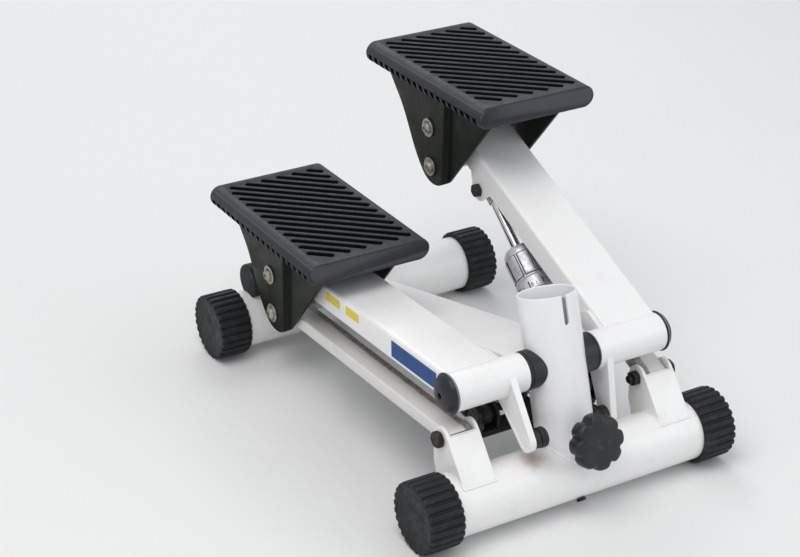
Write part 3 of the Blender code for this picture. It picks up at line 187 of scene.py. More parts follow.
class Bench:
    """Makes mesh pieces from outlines, profiles and rings in millimetres."""

    @staticmethod
    def across(axis: Vector) -> tuple[Vector, Vector]:
        """Two unit vectors square to an axis.

        Args:
            axis: The axis.

        Returns:
            A sideways and an upward vector.
        """
        start = Z_AXIS if abs(axis.normalized().z) < 0.9 else Vector((0.0, 1.0, 0.0))
        side = axis.cross(start).normalized()
        return side, axis.normalized().cross(side)

    @staticmethod
    def circle(centre: Vector, axis: Vector, radius: float, count: int, start: float = 0.0) -> list[Vector]:
        """Points round an axis.

        Args:
            centre: Middle of the circle.
            axis: Axis that it stands square to.
            radius: Its radius.
            count: Number of points.
            start: Angle of the first one.

        Returns:
            The points.
        """
        side, up = Bench.across(axis)
        turns = [math.radians(start) + 2 * math.pi * i / count for i in range(count)]
        return [centre + radius * (math.cos(t) * side + math.sin(t) * up) for t in turns]

    @staticmethod
    def put(name: str, data: bpy.types.ID) -> Piece:
        """Adds an object to the scene.

        Args:
            name: Its name.
            data: Its mesh, lamp or the like.

        Returns:
            The object.
        """
        made = bpy.data.objects.new(name, data)
        bpy.context.scene.collection.objects.link(made)
        return made

    @staticmethod
    def bake(mesh: bmesh.types.BMesh) -> Piece:
        """Piece from a bmesh, which is freed.

        Args:
            mesh: The mesh in metres.

        Returns:
            The piece.
        """
        data = bpy.data.meshes.new("work")
        mesh.to_mesh(data)
        mesh.free()
        return Bench.put("work", data)

    @staticmethod
    def finish(mesh: bmesh.types.BMesh) -> Piece:
        """Piece from a bmesh in millimetres, which is freed.

        Args:
            mesh: The mesh.

        Returns:
            The piece.
        """
        bmesh.ops.recalc_face_normals(mesh, faces=mesh.faces)
        bmesh.ops.scale(mesh, vec=(MM, MM, MM), verts=mesh.verts)
        return Bench.bake(mesh)

    @staticmethod
    def stack(rings: Sequence[Sequence[Sequence[float]]], closed: bool = False) -> Piece:
        """Skin through rings that have the same number of points.

        Args:
            rings: Rings of (x, y, z) points.
            closed: Whether the last ring joins the first, in place of two end faces.

        Returns:
            The piece.
        """
        mesh = bmesh.new()
        loops = [[mesh.verts.new(p) for p in ring] for ring in rings]
        pairs = list(zip(loops, loops[1:]))
        if closed:
            pairs.append((loops[-1], loops[0]))
        else:
            mesh.faces.new(loops[0])
            mesh.faces.new(loops[-1])
        count = len(rings[0])
        for low, high in pairs:
            for i in range(count):
                j = (i + 1) % count
                mesh.faces.new((low[i], low[j], high[j], high[i]))
        return Bench.finish(mesh)

    @staticmethod
    def pressed(outline: Sequence[Point], x0: float, x1: float) -> Piece:
        """Plate with a (y, z) outline between two values of x."""
        return Bench.stack([[(x, y, z) for y, z in outline] for x in sorted((x0, x1))])

    @staticmethod
    def slab(outline: Sequence[Point], z0: float, z1: float) -> Piece:
        """Plate with an (x, y) outline between two values of z."""
        return Bench.stack([[(x, y, z) for x, y in outline] for z in (z0, z1)])

    @staticmethod
    def turned(origin: Vector, axis: Vector, corners: Sequence[Sequence[float]], ease: float, count: int = 72,
               ring: bool = False, steps: int = 4) -> Piece:
        """Turned piece.

        Args:
            origin: Point on the axis from which the profile counts.
            axis: Direction of the axis.
            corners: Profile as (distance along, radius), or with an ease of its own as a third value.
            ease: Rounding of the other corners.
            count: Facets round.
            ring: Whether the profile closes on itself, for a piece with a bore.
            steps: Chords in each rounded corner.

        Returns:
            The piece.
        """
        axis = axis.normalized()
        mesh = bmesh.new()
        loops: list[list[bmesh.types.BMVert]] = []
        for along, radius in Outline.eased(corners, ease, ring, steps):
            centre = origin + axis * along
            points = Bench.circle(centre, axis, radius, count) if radius > 1e-6 else [centre]
            loops.append([mesh.verts.new(p) for p in points])
        pairs = list(zip(loops, loops[1:]))
        if ring:
            pairs.append((loops[-1], loops[0]))
        for low, high in pairs:
            for i in range(count):
                j = i + 1
                face = (low[i % len(low)], high[i % len(high)], high[j % len(high)], low[j % len(low)])
                if len(set(face)) > 2:
                    mesh.faces.new(tuple(dict.fromkeys(face)))
        return Bench.finish(mesh)

    @staticmethod
    def bar(start: Vector, end: Vector, radius: float, ease: float = 0.6, count: int = 48) -> Piece:
        """Round bar with eased ends."""
        shape = [(0, 0, 0), (0, radius), ((end - start).length, radius), ((end - start).length, 0, 0)]
        return Bench.turned(start, end - start, shape, ease, count)

    @staticmethod
    def pipe(start: Vector, end: Vector, outer: float, inner: float, ease: float = 0.5,
             count: int = 96) -> Piece:
        """Tube with eased rims, given by its ends and its two radii."""
        shape = [(0, inner), (0, outer), ((end - start).length, outer), ((end - start).length, inner)]
        return Bench.turned(start, end - start, shape, ease, count, ring=True)

    @staticmethod
    def bead(path: Sequence[Vector], radius: float, closed: bool = False) -> Piece:
        """Weld bead along a path, with a slightly uneven width.

        Args:
            path: Points along the seam.
            radius: Mean radius of the bead.
            closed: Whether the seam closes on itself.

        Returns:
            The piece.
        """
        rings = []
        count = len(path)
        for i, spot in enumerate(path):
            before = path[i - 1] if closed or i > 0 else spot
            after = path[(i + 1) % count] if closed or i < count - 1 else spot
            size = radius * (1 + 0.10 * math.sin(i * 1.9) + 0.06 * math.sin(i * 0.73 + 1.0))
            rings.append(Bench.circle(spot, (after - before).normalized(), size, 12))
        return Bench.stack(rings, closed)

    @staticmethod
    def settle(target: Piece) -> Piece:
        """Applies a piece's modifiers to its mesh.

        Args:
            target: The piece.

        Returns:
            The same piece.
        """
        graph = bpy.context.evaluated_depsgraph_get()
        data = bpy.data.meshes.new_from_object(target.evaluated_get(graph))
        target.modifiers.clear()
        old, target.data = target.data, data
        bpy.data.meshes.remove(old)
        return target

    @staticmethod
    def combine(target: Piece, tool: Piece, how: str) -> Piece:
        """Boolean of two pieces, kept in the first.

        Args:
            target: The piece that is kept.
            tool: The piece that is used up.
            how: DIFFERENCE, UNION or INTERSECT.

        Returns:
            The target.
        """
        step = target.modifiers.new("step", "BOOLEAN")
        step.operation, step.solver, step.object = how, "EXACT", tool
        Bench.settle(target)
        bpy.data.objects.remove(tool)
        return target

    @staticmethod
    def cut(target: Piece, tool: Piece) -> Piece:
        """Takes the tool's shape out of the target."""
        return Bench.combine(target, tool, "DIFFERENCE")

    @staticmethod
    def drill(target: Piece, start: Vector, end: Vector, radius: float, count: int = 96) -> Piece:
        """Cuts a round hole between two points out of the target."""
        return Bench.cut(target, Bench.bar(start, end, radius, 0.0, count))

    @staticmethod
    def saddle(target: Piece, centre: Vector, radius: float, count: int = 96) -> Piece:
        """Cuts a round seat along X out of the target."""
        return Bench.drill(target, centre - X_AXIS * 200, centre + X_AXIS * 200, radius, count)

    @staticmethod
    def soften(target: Piece, width: float, segments: int = 3, angle: float = 32.0) -> Piece:
        """Rounds a piece's sharp edges.

        Args:
            target: The piece.
            width: Width of the rounding.
            segments: Facets across it.
            angle: Smallest angle that counts as sharp.

        Returns:
            The target.
        """
        ease = target.modifiers.new("ease", "BEVEL")
        ease.width, ease.segments = width * MM, segments
        ease.limit_method, ease.angle_limit = "ANGLE", math.radians(angle)
        ease.use_clamp_overlap = True
        return Bench.settle(target)

    @staticmethod
    def join(pieces: Sequence[Piece]) -> Piece:
        """Puts several meshes in one piece.

        Args:
            pieces: Pieces that are used up.

        Returns:
            The joined piece.
        """
        mesh = bmesh.new()
        for piece in pieces:
            mesh.from_mesh(piece.data)
            bpy.data.objects.remove(piece)
        return Bench.bake(mesh)


# finishes


class NodeBoard:
    """Node tree of one material, with short calls for the usual nodes."""

    def __init__(self, name: str) -> None:
        """Starts an empty Principled material.

        Args:
            name: Material name.
        """
        self.material = bpy.data.materials.new(name)
        self.material.use_nodes = True
        self.tree = self.material.node_tree
        self.shader = self.tree.nodes["Principled BSDF"]
        self.place = self.node("TexCoord", {}).outputs["Object"]

    def feed(self, inlet: Socket, fed: object) -> None:
        """Links an inlet to a socket, or sets its value.

        Args:
            inlet: The inlet.
            fed: A socket, a number or a colour.
        """
        if isinstance(fed, Socket):
            self.tree.links.new(fed, inlet)
        else:
            inlet.default_value = fed

    def value(self, name: str, fed: object) -> None:
        """Feeds one of the shader's own sockets."""
        self.feed(self.shader.inputs[name], fed)

    def node(self, kind: str, feeds: dict[object, object], **settings: str) -> bpy.types.Node:
        """New node.

        Args:
            kind: Its type, without the leading ShaderNode.
            feeds: What its inlets take, by name or number.
            settings: Its other settings.

        Returns:
            The node.
        """
        made = self.tree.nodes.new("ShaderNode" + kind)
        for name, setting in settings.items():
            setattr(made, name, setting)
        for inlet, fed in feeds.items():
            self.feed(made.inputs[inlet], fed)
        return made

    def noise(self, scale: float, detail: float, roughness: float, stretch: Place = (1.0, 1.0, 1.0),
              shift: float = 0.0) -> Socket:
        """Noise over the piece.

        Args:
            scale: Features per metre.
            detail: Octaves.
            roughness: Weight of the finer octaves.
            stretch: Scale along X, Y and Z, for streaks.
            shift: Offset of the pattern.

        Returns:
            The noise's factor socket.
        """
        mapping = self.node("Mapping", {"Vector": self.place, "Scale": stretch,
                                        "Location": (shift, shift * 0.7, -shift)})
        noise = self.node("TexNoise", {"Vector": mapping.outputs["Vector"], "Scale": scale, "Detail": detail,
                                       "Roughness": roughness})
        return noise.outputs["Fac"]

    def ramp(self, source: Socket, low: float, high: float, start: float = 0.0, end: float = 1.0) -> Socket:
        """Smooth step of a value.

        Args:
            source: The value.
            low: Where the step starts.
            high: Where it ends.
            start: Result below low.
            end: Result above high.

        Returns:
            The stepped value.
        """
        feeds = {"Value": source, "From Min": low, "From Max": high, "To Min": start, "To Max": end}
        return self.node("MapRange", feeds, interpolation_type="SMOOTHSTEP").outputs["Result"]

    def math(self, kind: str, first: Socket, second: object) -> Socket:
        """Sum, product and the like of a socket and a socket or number."""
        return self.node("Math", {0: first, 1: second}, operation=kind).outputs[0]

    def mix(self, share: Socket, first: object, second: object) -> Socket:
        """Blend of two colours or sockets, with the share of the second one."""
        one, two = (c if isinstance(c, Socket) else (*c, 1.0) for c in (first, second))
        return self.node("Mix", {0: share, 6: one, 7: two}, data_type="RGBA").outputs[2]

    def edges(self) -> Socket:
        """Share that is 1 on the piece's worn outer edges."""
        return self.ramp(self.node("NewGeometry", {}).outputs["Pointiness"], 0.52, 0.60)

    def spot(self, centre: Vector, radius: float) -> Socket:
        """Soft ball of influence round a place on the machine.

        Args:
            centre: Place in millimetres.
            radius: Reach in millimetres.

        Returns:
            A value, 1 in the middle and 0 outside.
        """
        away = self.node("VectorMath", {0: self.place, 1: centre * MM}, operation="DISTANCE").outputs["Value"]
        wobble = self.math("MULTIPLY", self.noise(140.0, 4.0, 0.65), radius * MM * 0.9)
        return self.ramp(self.math("ADD", away, wobble), radius * MM * 0.55, radius * MM * 1.45, 1.0, 0.0)

    def near_middle(self, reach: float) -> Socket:
        """Share of old dirt and painted shade from the arms above on faces nearer to the machine's middle
        plane than a distance.

        Args:
            reach: The distance in millimetres.

        Returns:
            A value, 0 outside and patchy, up to 0.9, inside.
        """
        away = self.math("ABSOLUTE", self.node("SeparateXYZ", {0: self.place}).outputs["X"], 0.0)
        away = self.math("ADD", away, self.math("MULTIPLY", self.noise(70.0, 6.0, 0.7), 5.0 * MM))
        inside = self.ramp(away, (reach + 1.0) * MM, (reach + 4.0) * MM, 0.9, 0.0)
        patches = self.ramp(self.noise(160.0, 7.0, 0.75, shift=5.0), 0.30, 0.62, 0.55, 1.0)
        return self.math("MULTIPLY", inside, patches)

    def matt(self, source: Socket, shine: float, spread: float = 0.16, high: float = 0.75) -> None:
        """Uneven roughness between a value and that much more."""
        self.value("Roughness", self.ramp(source, 0.3, high, shine, shine + spread))

    def bump(self, height: Socket, strength: float, depth: float) -> None:
        """Adds relief, with its depth in millimetres."""
        relief = self.node("Bump", {"Height": height, "Strength": strength, "Distance": depth * MM})
        self.value("Normal", relief.outputs["Normal"])


@dataclass(frozen=True)
class Finish:
    """Base of the finishes: a name, the record's slot and a colour."""

    name: str
    slot: str
    colour: Place

    def material(self) -> bpy.types.Material:
        """Material of this finish, made once.

        Returns:
            The material.
        """
        found = bpy.data.materials.get("look_" + self.name)
        if found:
            return found
        board = NodeBoard("look_" + self.name)
        board.material.diffuse_color = (*self.colour, 1.0)
        self.lay(board)
        return board.material

    def lay(self, board: NodeBoard) -> None:
        """Sets the nodes of the finish.

        Args:
            board: The material's node tree.
        """
        raise NotImplementedError


@dataclass(frozen=True)
class PowderCoat(Finish):
    """Baked powder paint: slight orange peel, specks and old grime."""

    gloss: float = 0.30
    grime: float = 0.25
    tint: Place = (0.40, 0.36, 0.29)
    stains: tuple[tuple[float, float, float, float], ...] = ()
    coat: float = 0.25
    level: float = 0.5
    dirt_within: float = 0.0

    def lay(self, board: NodeBoard) -> None:
        """Paint with uneven tone, grime, specks, any dirt and painted shade near the middle plane, and any
        rust stains.

        Args:
            board: The material's node tree.
        """
        cloud = board.ramp(board.noise(9.0, 5.0, 0.6), 0.35, 0.7, 0.0, 0.10)
        dull = tuple(c * 0.90 for c in self.colour)
        tone = board.mix(cloud, self.colour, dull)
        smear = board.ramp(board.noise(38.0, 7.0, 0.68, shift=3.0), 0.54, 0.78, 0.0, self.grime)
        tone = board.mix(smear, tone, self.tint)
        most = 0.55 * min(1.0, self.grime * 2)
        specks = board.ramp(board.noise(620.0, 1.5, 0.4, shift=7.0), 0.735, 0.775, 0.0, most)
        tone = board.mix(specks, tone, (0.16, 0.14, 0.12))
        if self.dirt_within:
            # Faces near the middle plane darken: old dirt mixed with painted shade under the arms.
            tone = board.mix(board.near_middle(self.dirt_within), tone, (0.155, 0.135, 0.105))
        for x, y, z, radius in self.stains:
            rust = board.math("MULTIPLY", board.spot(Vector((x, y, z)), radius), 0.62)
            tone = board.mix(rust, tone, (0.60, 0.40, 0.31))
        board.value("Base Color", tone)
        board.matt(board.noise(55.0, 4.0, 0.6, shift=1.0), self.gloss)
        board.bump(board.noise(420.0, 2.0, 0.4), 0.10, 0.25)
        board.value("Coat Weight", self.coat)
        board.value("Coat Roughness", 0.12)
        board.value("Specular IOR Level", self.level)


@dataclass(frozen=True)
class Rubber(Finish):
    """Moulded rubber, dusty on its outer edges."""

    dust: float = 0.30

    def lay(self, board: NodeBoard) -> None:
        """Matt black with dust in clouds and a fine grain.

        Args:
            board: The material's node tree.
        """
        dusty = board.ramp(board.noise(70.0, 7.0, 0.7), 0.50, 0.80, 0.0, self.dust)
        tone = board.mix(dusty, self.colour, (0.16, 0.155, 0.145))
        worn = board.math("MULTIPLY", board.edges(), 0.22)
        board.value("Base Color", board.mix(worn, tone, (0.12, 0.125, 0.13)))
        board.matt(board.noise(120.0, 4.0, 0.6), 0.50, 0.20, 0.7)
        board.bump(board.noise(1400.0, 2.0, 0.6), 0.22, 0.12)
        board.value("Specular IOR Level", 0.30)


@dataclass(frozen=True)
class Moulded(Finish):
    """Moulded plastic with a fine spark-eroded grain."""

    shine: float = 0.42
    grain: float = 0.20
    dust: float = 0.16
    level: float = 0.36
    wear: float = 0.30

    def lay(self, board: NodeBoard) -> None:
        """Even colour, light dust, worn edges and grain.

        Args:
            board: The material's node tree.
        """
        dusty = board.ramp(board.noise(46.0, 8.0, 0.7), 0.50, 0.82, 0.0, self.dust)
        tone = board.mix(dusty, self.colour, (0.19, 0.185, 0.175))
        worn = board.math("MULTIPLY", board.edges(), self.wear)
        board.value("Base Color", board.mix(worn, tone, tuple(min(1.0, c * 2.6 + 0.01) for c in self.colour)))
        board.matt(board.noise(90.0, 5.0, 0.6), self.shine)
        board.bump(board.noise(2600.0, 1.0, 0.5), self.grain, 0.08)
        board.value("Specular IOR Level", self.level)


@dataclass(frozen=True)
class Steel(Finish):
    """Bare or plated steel, with rust in patches."""

    shine: float = 0.32
    rust: float = 0.20
    metal: float = 1.0

    def lay(self, board: NodeBoard) -> None:
        """Metal with uneven polish and rust where the plating is thin.

        Args:
            board: The material's node tree.
        """
        patch = board.ramp(board.noise(330.0, 6.0, 0.7, shift=2.0), 0.56, 0.74, 0.0, self.rust)
        dull = tuple(c * 0.72 for c in self.colour)
        tone = board.mix(board.ramp(board.noise(150.0, 4.0, 0.6), 0.35, 0.7), self.colour, dull)
        board.value("Base Color", board.mix(patch, tone, (0.16, 0.075, 0.035)))
        board.value("Metallic", board.ramp(patch, 0.0, 1.0, self.metal, 0.0))
        board.matt(board.noise(240.0, 5.0, 0.6), self.shine, 0.22)
        board.bump(board.noise(700.0, 3.0, 0.6), 0.10, 0.10)


@dataclass(frozen=True)
class Greasy(Finish):
    """Blackened steel under old grease and lint."""

    shine: float = 0.38

    def lay(self, board: NodeBoard) -> None:
        """Near black, shiny in patches, with brown lint.

        Args:
            board: The material's node tree.
        """
        lint = board.ramp(board.noise(260.0, 8.0, 0.75), 0.52, 0.74, 0.0, 0.65)
        board.value("Base Color", board.mix(lint, self.colour, (0.115, 0.098, 0.078)))
        board.value("Roughness",
                    board.ramp(board.noise(190.0, 6.0, 0.7, shift=4.0), 0.35, 0.65, self.shine, 0.85))
        board.bump(board.noise(420.0, 6.0, 0.7), 0.45, 0.45)


@dataclass(frozen=True)
class Film(Finish):
    """Thin printed film, plain, slightly yellowed and scuffed."""

    shine: float = 0.28

    def lay(self, board: NodeBoard) -> None:
        """Flat colour with scuffs along the arm.

        Args:
            board: The material's node tree.
        """
        scuff = board.ramp(board.noise(150.0, 6.0, 0.7, (1.0, 0.25, 1.0)), 0.60, 0.76, 0.0, 0.35)
        pale = tuple(min(1.0, c * 0.6 + 0.16) for c in self.colour)
        board.value("Base Color", board.mix(scuff, self.colour, pale))
        board.matt(board.noise(80.0, 4.0, 0.6), self.shine, 0.15, 0.7)
        board.bump(board.noise(300.0, 2.0, 0.5), 0.05, 0.05)
        board.value("Specular IOR Level", 0.25)


@dataclass(frozen=True)
class Finishes:
    """Every finish of the machine."""

    white: Finish = PowderCoat("white", "white_paint", (0.88, 0.875, 0.865), 0.30, 0.14)
    base_white: Finish = PowderCoat("base_white", "white_paint", (0.89, 0.885, 0.87), 0.28, 0.18,
                                    stains=((-51.0, -210.0, 66.0, 17.0),))
    # Dark brown-grey finish of the arm channels' inner faces: painted shade under the arms.
    inside: Finish = PowderCoat("inside", "white_paint", (0.30, 0.275, 0.24), 0.50, 0.75, (0.14, 0.12, 0.095),
                                coat=0.0)
    # Lower bars: old dirt and painted shade on their inner halves, under the arms.
    old_white: Finish = PowderCoat("old_white", "white_paint", (0.74, 0.73, 0.70), 0.36, 0.50,
                                   dirt_within=107.0)
    post_white: Finish = PowderCoat("post_white", "white_paint", (0.86, 0.86, 0.875), 0.30, 0.10)
    rubber: Finish = Rubber("rubber", "black_rubber", (0.012, 0.013, 0.016), 0.20)
    plastic: Finish = Moulded("plastic", "black_plastic", (0.015, 0.016, 0.019), 0.36, 0.10, 0.12, 0.42)
    # Lighter grey band on the end caps' rims: a painted highlight.
    rim: Finish = Moulded("rim", "black_plastic", (0.20, 0.20, 0.22), 0.30, 0.05, 0.10)
    tread: Finish = Moulded("tread", "grey_plastic", (0.022, 0.0235, 0.027), 0.50, 0.24, 0.10, 0.26, 0.9)
    # Near-black finish of the tread grooves and notches: painted shade.
    groove: Finish = Moulded("groove", "grey_plastic", (0.0025, 0.003, 0.006), 0.70, 0.24, 0.02, 0.06)
    nylon: Finish = Moulded("nylon", "black_plastic", (0.05, 0.05, 0.052), 0.45, 0.10, 0.20)
    buffer: Finish = Moulded("buffer", "white_paint", (0.50, 0.48, 0.43), 0.42, 0.10, 0.25)
    black: Finish = PowderCoat("black", "black_paint", (0.0085, 0.0115, 0.0065), 0.36, 0.10,
                               (0.040, 0.041, 0.032), coat=0.02, level=0.17)
    # Lighter, bluish white inside the post near its rim: painted light.
    bore_white: Finish = PowderCoat("bore_white", "white_paint", (0.96, 0.96, 0.99), 0.34, 0.04)
    # Dark grey deeper in the post's bore: painted shade.
    bore_steel: Finish = PowderCoat("bore_steel", "zinc_steel", (0.40, 0.41, 0.44), 0.45, 0.20,
                                    (0.24, 0.22, 0.19), coat=0.0)
    zinc: Finish = Steel("zinc", "zinc_steel", (0.47, 0.44, 0.39), 0.34, 0.55)
    dark_bolt: Finish = Steel("dark_bolt", "zinc_steel", (0.060, 0.056, 0.050), 0.42, 0.60)
    satin: Finish = Steel("satin", "satin_metal", (0.66, 0.655, 0.69), 0.36, 0.05, metal=0.60)
    seam: Finish = Steel("seam", "satin_metal", (0.10, 0.10, 0.11), 0.45, 0.10)
    chrome: Finish = Steel("chrome", "chrome", (0.80, 0.80, 0.81), 0.08, 0.08)
    grease: Finish = Greasy("grease", "black_paint", (0.012, 0.0115, 0.011))
    blue_film: Finish = Film("blue_film", "white_paint", (0.003, 0.062, 0.235))
    yellow_film: Finish = Film("yellow_film", "white_paint", (0.80, 0.62, 0.04))
    marks: Finish = Film("marks", "satin_metal", (0.02, 0.02, 0.022), 0.40)


FINISH = Finishes()


# frame


def box(node: str) -> tuple[Vector, Vector]:
    """Lowest and highest corner of a frame node, in millimetres."""
    low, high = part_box(node)
    return low / MM, high / MM


def centre_of(node: str) -> Vector:
    """Middle of a frame node, in millimetres."""
    low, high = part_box(node)
    return (low + high) / 2 / MM


@dataclass(frozen=True)
class Pins:
    """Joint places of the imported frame, in millimetres."""

    places: dict[str, Vector]
    ways: dict[str, Vector]

    @classmethod
    def read(cls) -> "Pins":
        """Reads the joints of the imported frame.

        Returns:
            The pins.
        """
        places = {j["name"]: Vector(j["pos_m"]) / MM for j in frame["joints"] if "pos_m" in j}
        ways = {j["name"]: Vector(j["axis"]) for j in frame["joints"]}
        return cls(places, ways)

    @property
    def pivot(self) -> Vector:
        """Point of the main shaft's axis on the middle plane."""
        return self.places["left_arm_pivot"]

    @property
    def bar(self) -> Vector:
        """Point of the lower bars' axis on the middle plane."""
        return self.places["left_bar_pivot"]

    def ball(self, side: Side) -> Vector:
        """Pedal's upper pin on one side."""
        return self.places[side.word + "_pedal_pivot"]

    def lean(self, side: Side) -> float:
        """Angle of an arm at rest.

        Args:
            side: Which arm.

        Returns:
            Degrees above level.
        """
        run = self.ball(side) - self.pivot
        return math.degrees(math.atan2(run.z, run.y))

    def along(self, side: Side, t: float, h: float, origin: Optional[Vector] = None) -> Point:
        """Place given along and above an arm's line.

        Args:
            side: Which arm.
            t: Distance along the arm.
            h: Height above its line.
            origin: Start of the line; the main shaft if not given.

        Returns:
            The place as (y, z).
        """
        start = origin or self.pivot
        turn = math.radians(self.lean(side))
        return (start.y + t * math.cos(turn) - h * math.sin(turn),
                start.z + t * math.sin(turn) + h * math.cos(turn))


PINS = Pins.read()
FRONT_TUBE, REAR_TUBE = centre_of("front_tube"), centre_of("rear_tube")


def dress(piece: Piece, name: str, finish: Finish, body: str, sharp: float = 30.0, node: str = "") -> None:
    """Gives a piece its name, finish and body, and hides the frame node that it replaces.

    Args:
        piece: The piece.
        name: Its name. With _skin at its end, the piece replaces the frame node of that name.
        finish: Its finish.
        body: Frame body it moves with.
        sharp: Angle above which an edge stays crisp.
        node: Frame node that a piece of another name helps to replace.
    """
    piece.name = piece.data.name = name
    if not piece.data.materials:
        piece.data.materials.append(finish.material())
    piece.data.shade_smooth()
    piece.data.set_sharp_from_angle(angle=math.radians(sharp))
    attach(piece, body)
    if node or name.endswith("_skin"):
        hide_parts(node or name.removesuffix("_skin"))
    LOG.info("%s: %d faces on %s", piece.name, len(piece.data.polygons), body)


def tint(piece: Piece, finishes: Sequence[Finish], chosen: Callable[[Vector], int]) -> None:
    """Gives a piece several finishes.

    Args:
        piece: The piece.
        finishes: Its finishes, the main one first.
        chosen: Says from a face's middle, in millimetres, which of them the face takes.
    """
    piece.data.materials.clear()
    for finish in finishes:
        piece.data.materials.append(finish.material())
    for face in piece.data.polygons:
        face.material_index = int(chosen(face.center / MM))


@dataclass
class Sided:
    """Sub-assembly that stands once on each side."""

    side: Side

    @property
    def out(self) -> Vector:
        """Direction away from the middle plane."""
        return X_AXIS * self.side.sign

    def name(self, part: str) -> str:
        """Name of one of its nodes, pieces or bodies."""
        return f"{self.side.word}_{part}"

    def dress(self, piece: Piece, part: str, finish: Finish, body: str, sharp: float = 30.0,
              node: str = "") -> None:
        """Dresses a piece, with its name and body given without the side."""
        dress(piece, self.name(part), finish, self.name(body), sharp, node)


# fasteners


@dataclass(frozen=True)
class Fastener:
    """Bolt heads and nuts."""

    radius: float
    height: float
    corner: float = 1.1

    def hexagon(self, centre: Vector, axis: Vector, turn: float = 12.0) -> Piece:
        """Hexagon head with rounded corners, a chamfered top and a washer face.

        Args:
            centre: Middle of its seat.
            axis: Way that it stands out.
            turn: How far it is turned.

        Returns:
            The head.
        """
        side, up = Bench.across(axis)
        corners = Outline.arc((0.0, 0.0), self.radius, turn, turn + 300, 5)
        outline = Outline.eased(corners, self.corner, steps=3)
        flat = self.radius * math.cos(math.pi / 6)
        rings = []
        for along, limit in ((0.0, flat * 0.94), (0.5, flat * 0.96), (0.7, 99.0), (self.height * 0.78, 99.0),
                             (self.height * 0.93, flat * 1.02), (self.height, flat * 0.90),
                             (self.height - 0.25, flat * 0.60), (self.height - 0.25, 0.4)):
            ring = []
            for a, b in outline:
                size = min(1.0, limit / math.hypot(a, b))
                ring.append(centre + axis * along + size * (a * side + b * up))
            rings.append(ring)
        return Bench.stack(rings)

    def button(self, centre: Vector, axis: Vector) -> Piece:
        """Domed head on a washer, with a hexagon socket.

        Args:
            centre: Middle of the washer's seat.
            axis: Way that it stands out.

        Returns:
            The head.
        """
        r, h = self.radius, self.height
        corners = [(0.0, 0.0, 0.0), (0.0, 10.0, 0.3), (1.7, 10.1, 0.5), (1.75, r + 0.9, 0.2),
                   (1.2, r + 0.5, 0.2), (1.3, r, 0.3), (h * 0.62, r * 0.97, 1.0), (h * 0.93, r * 0.70, 1.2),
                   (h, r * 0.50, 0.3), (h, 0.0, 0.0)]
        head = Bench.turned(centre, axis, corners, 0.3, 48, steps=3)
        rings = [Bench.circle(centre + axis * along, axis, r * 0.38, 6, 20.0) for along in (h - 2.0, h + 2.0)]
        return Bench.cut(head, Bench.stack(rings))


# base


@dataclass
class FloorTube:
    """One floor tube with its two ribbed caps."""

    place: str
    radius: float = 30.2
    wall: float = 2.0
    cap_radius: float = 35.5
    ribs: int = 26
    rib_depth: float = 2.5

    def build(self) -> None:
        """Makes the tube and both caps."""
        low, high = box(self.place + "_tube")
        centre, reach = (low + high) / 2, X_AXIS * (high.x - low.x) / 2
        tube = Bench.pipe(centre - reach, centre + reach, self.radius, self.radius - self.wall, 0.5, 128)
        finish = FINISH.base_white if self.place == "front" else FINISH.white
        dress(tube, self.place + "_tube_skin", finish, "base")
        for side in Side:
            self.cap(side, centre)

    def cap(self, side: Side, centre: Vector) -> None:
        """Ribbed cap with a plain flat end.

        Args:
            side: Which end of the tube.
            centre: Middle of the tube.
        """
        node = f"{self.place}_cap_{side.word}"
        low, high = box(node)
        inner, outer = (high.x, low.x) if side is Side.LEFT else (low.x, high.x)
        tip = self.cap_radius - 0.05
        root = tip - self.rib_depth
        shape = []
        for i in range(self.ribs):
            start = 2 * math.pi * (i + 0.11) / self.ribs
            for share, radius, rib in ((0.00, root, 0), (0.05, root + 0.3, 0), (0.13, tip - 0.5, 1),
                                       (0.18, tip - 0.08, 1), (0.25, tip, 1), (0.40, tip, 1), (0.55, tip, 1),
                                       (0.62, tip - 0.08, 1), (0.67, tip - 0.5, 1), (0.75, root + 0.3, 0),
                                       (0.80, root, 0), (0.90, root, 0)):
                shape.append((start + 2 * math.pi * share / self.ribs, radius, rib))
        sign = side.sign
        rings = []
        for start, along, rib_drop, root_drop in (
                (inner, 0.0, 2.6, 2.0), (inner, 0.7, 1.0, 0.6), (inner, 1.8, 0.2, 0.15), (inner, 3.0, 0.0, 0),
                (outer, -4.0, 0.0, 0.0), (outer, -1.6, 0.15, 0.1), (outer, -0.7, 0.5, 0.35),
                (outer, -0.15, 1.2, 0.8), (outer, 0.0, 2.2, 1.4), (outer, 0.0, 3.2, 1.8)):
            drops = (root_drop, rib_drop)
            rings.append([(start + sign * along, centre.y + (r - drops[rib]) * math.sin(t),
                           centre.z - (r - drops[rib]) * math.cos(t)) for t, r, rib in shape])
        for radius, depth in ((root - 3.2, 0.0), (root - 4.4, 0.5), (12.0, 0.55), (1.0, 0.5)):
            flat = outer - sign * depth
            rings.append([(flat, centre.y + radius * math.sin(t), centre.z - radius * math.cos(t))
                          for t, _, _ in shape])
        ends = (Vector((x, centre.y, centre.z)) for x in (inner - sign * 2, outer - sign * 10))
        cap = Bench.drill(Bench.stack(rings), *ends, self.radius + 0.3)
        dress(cap, node + "_skin", FINISH.rubber, "base", 40.0)


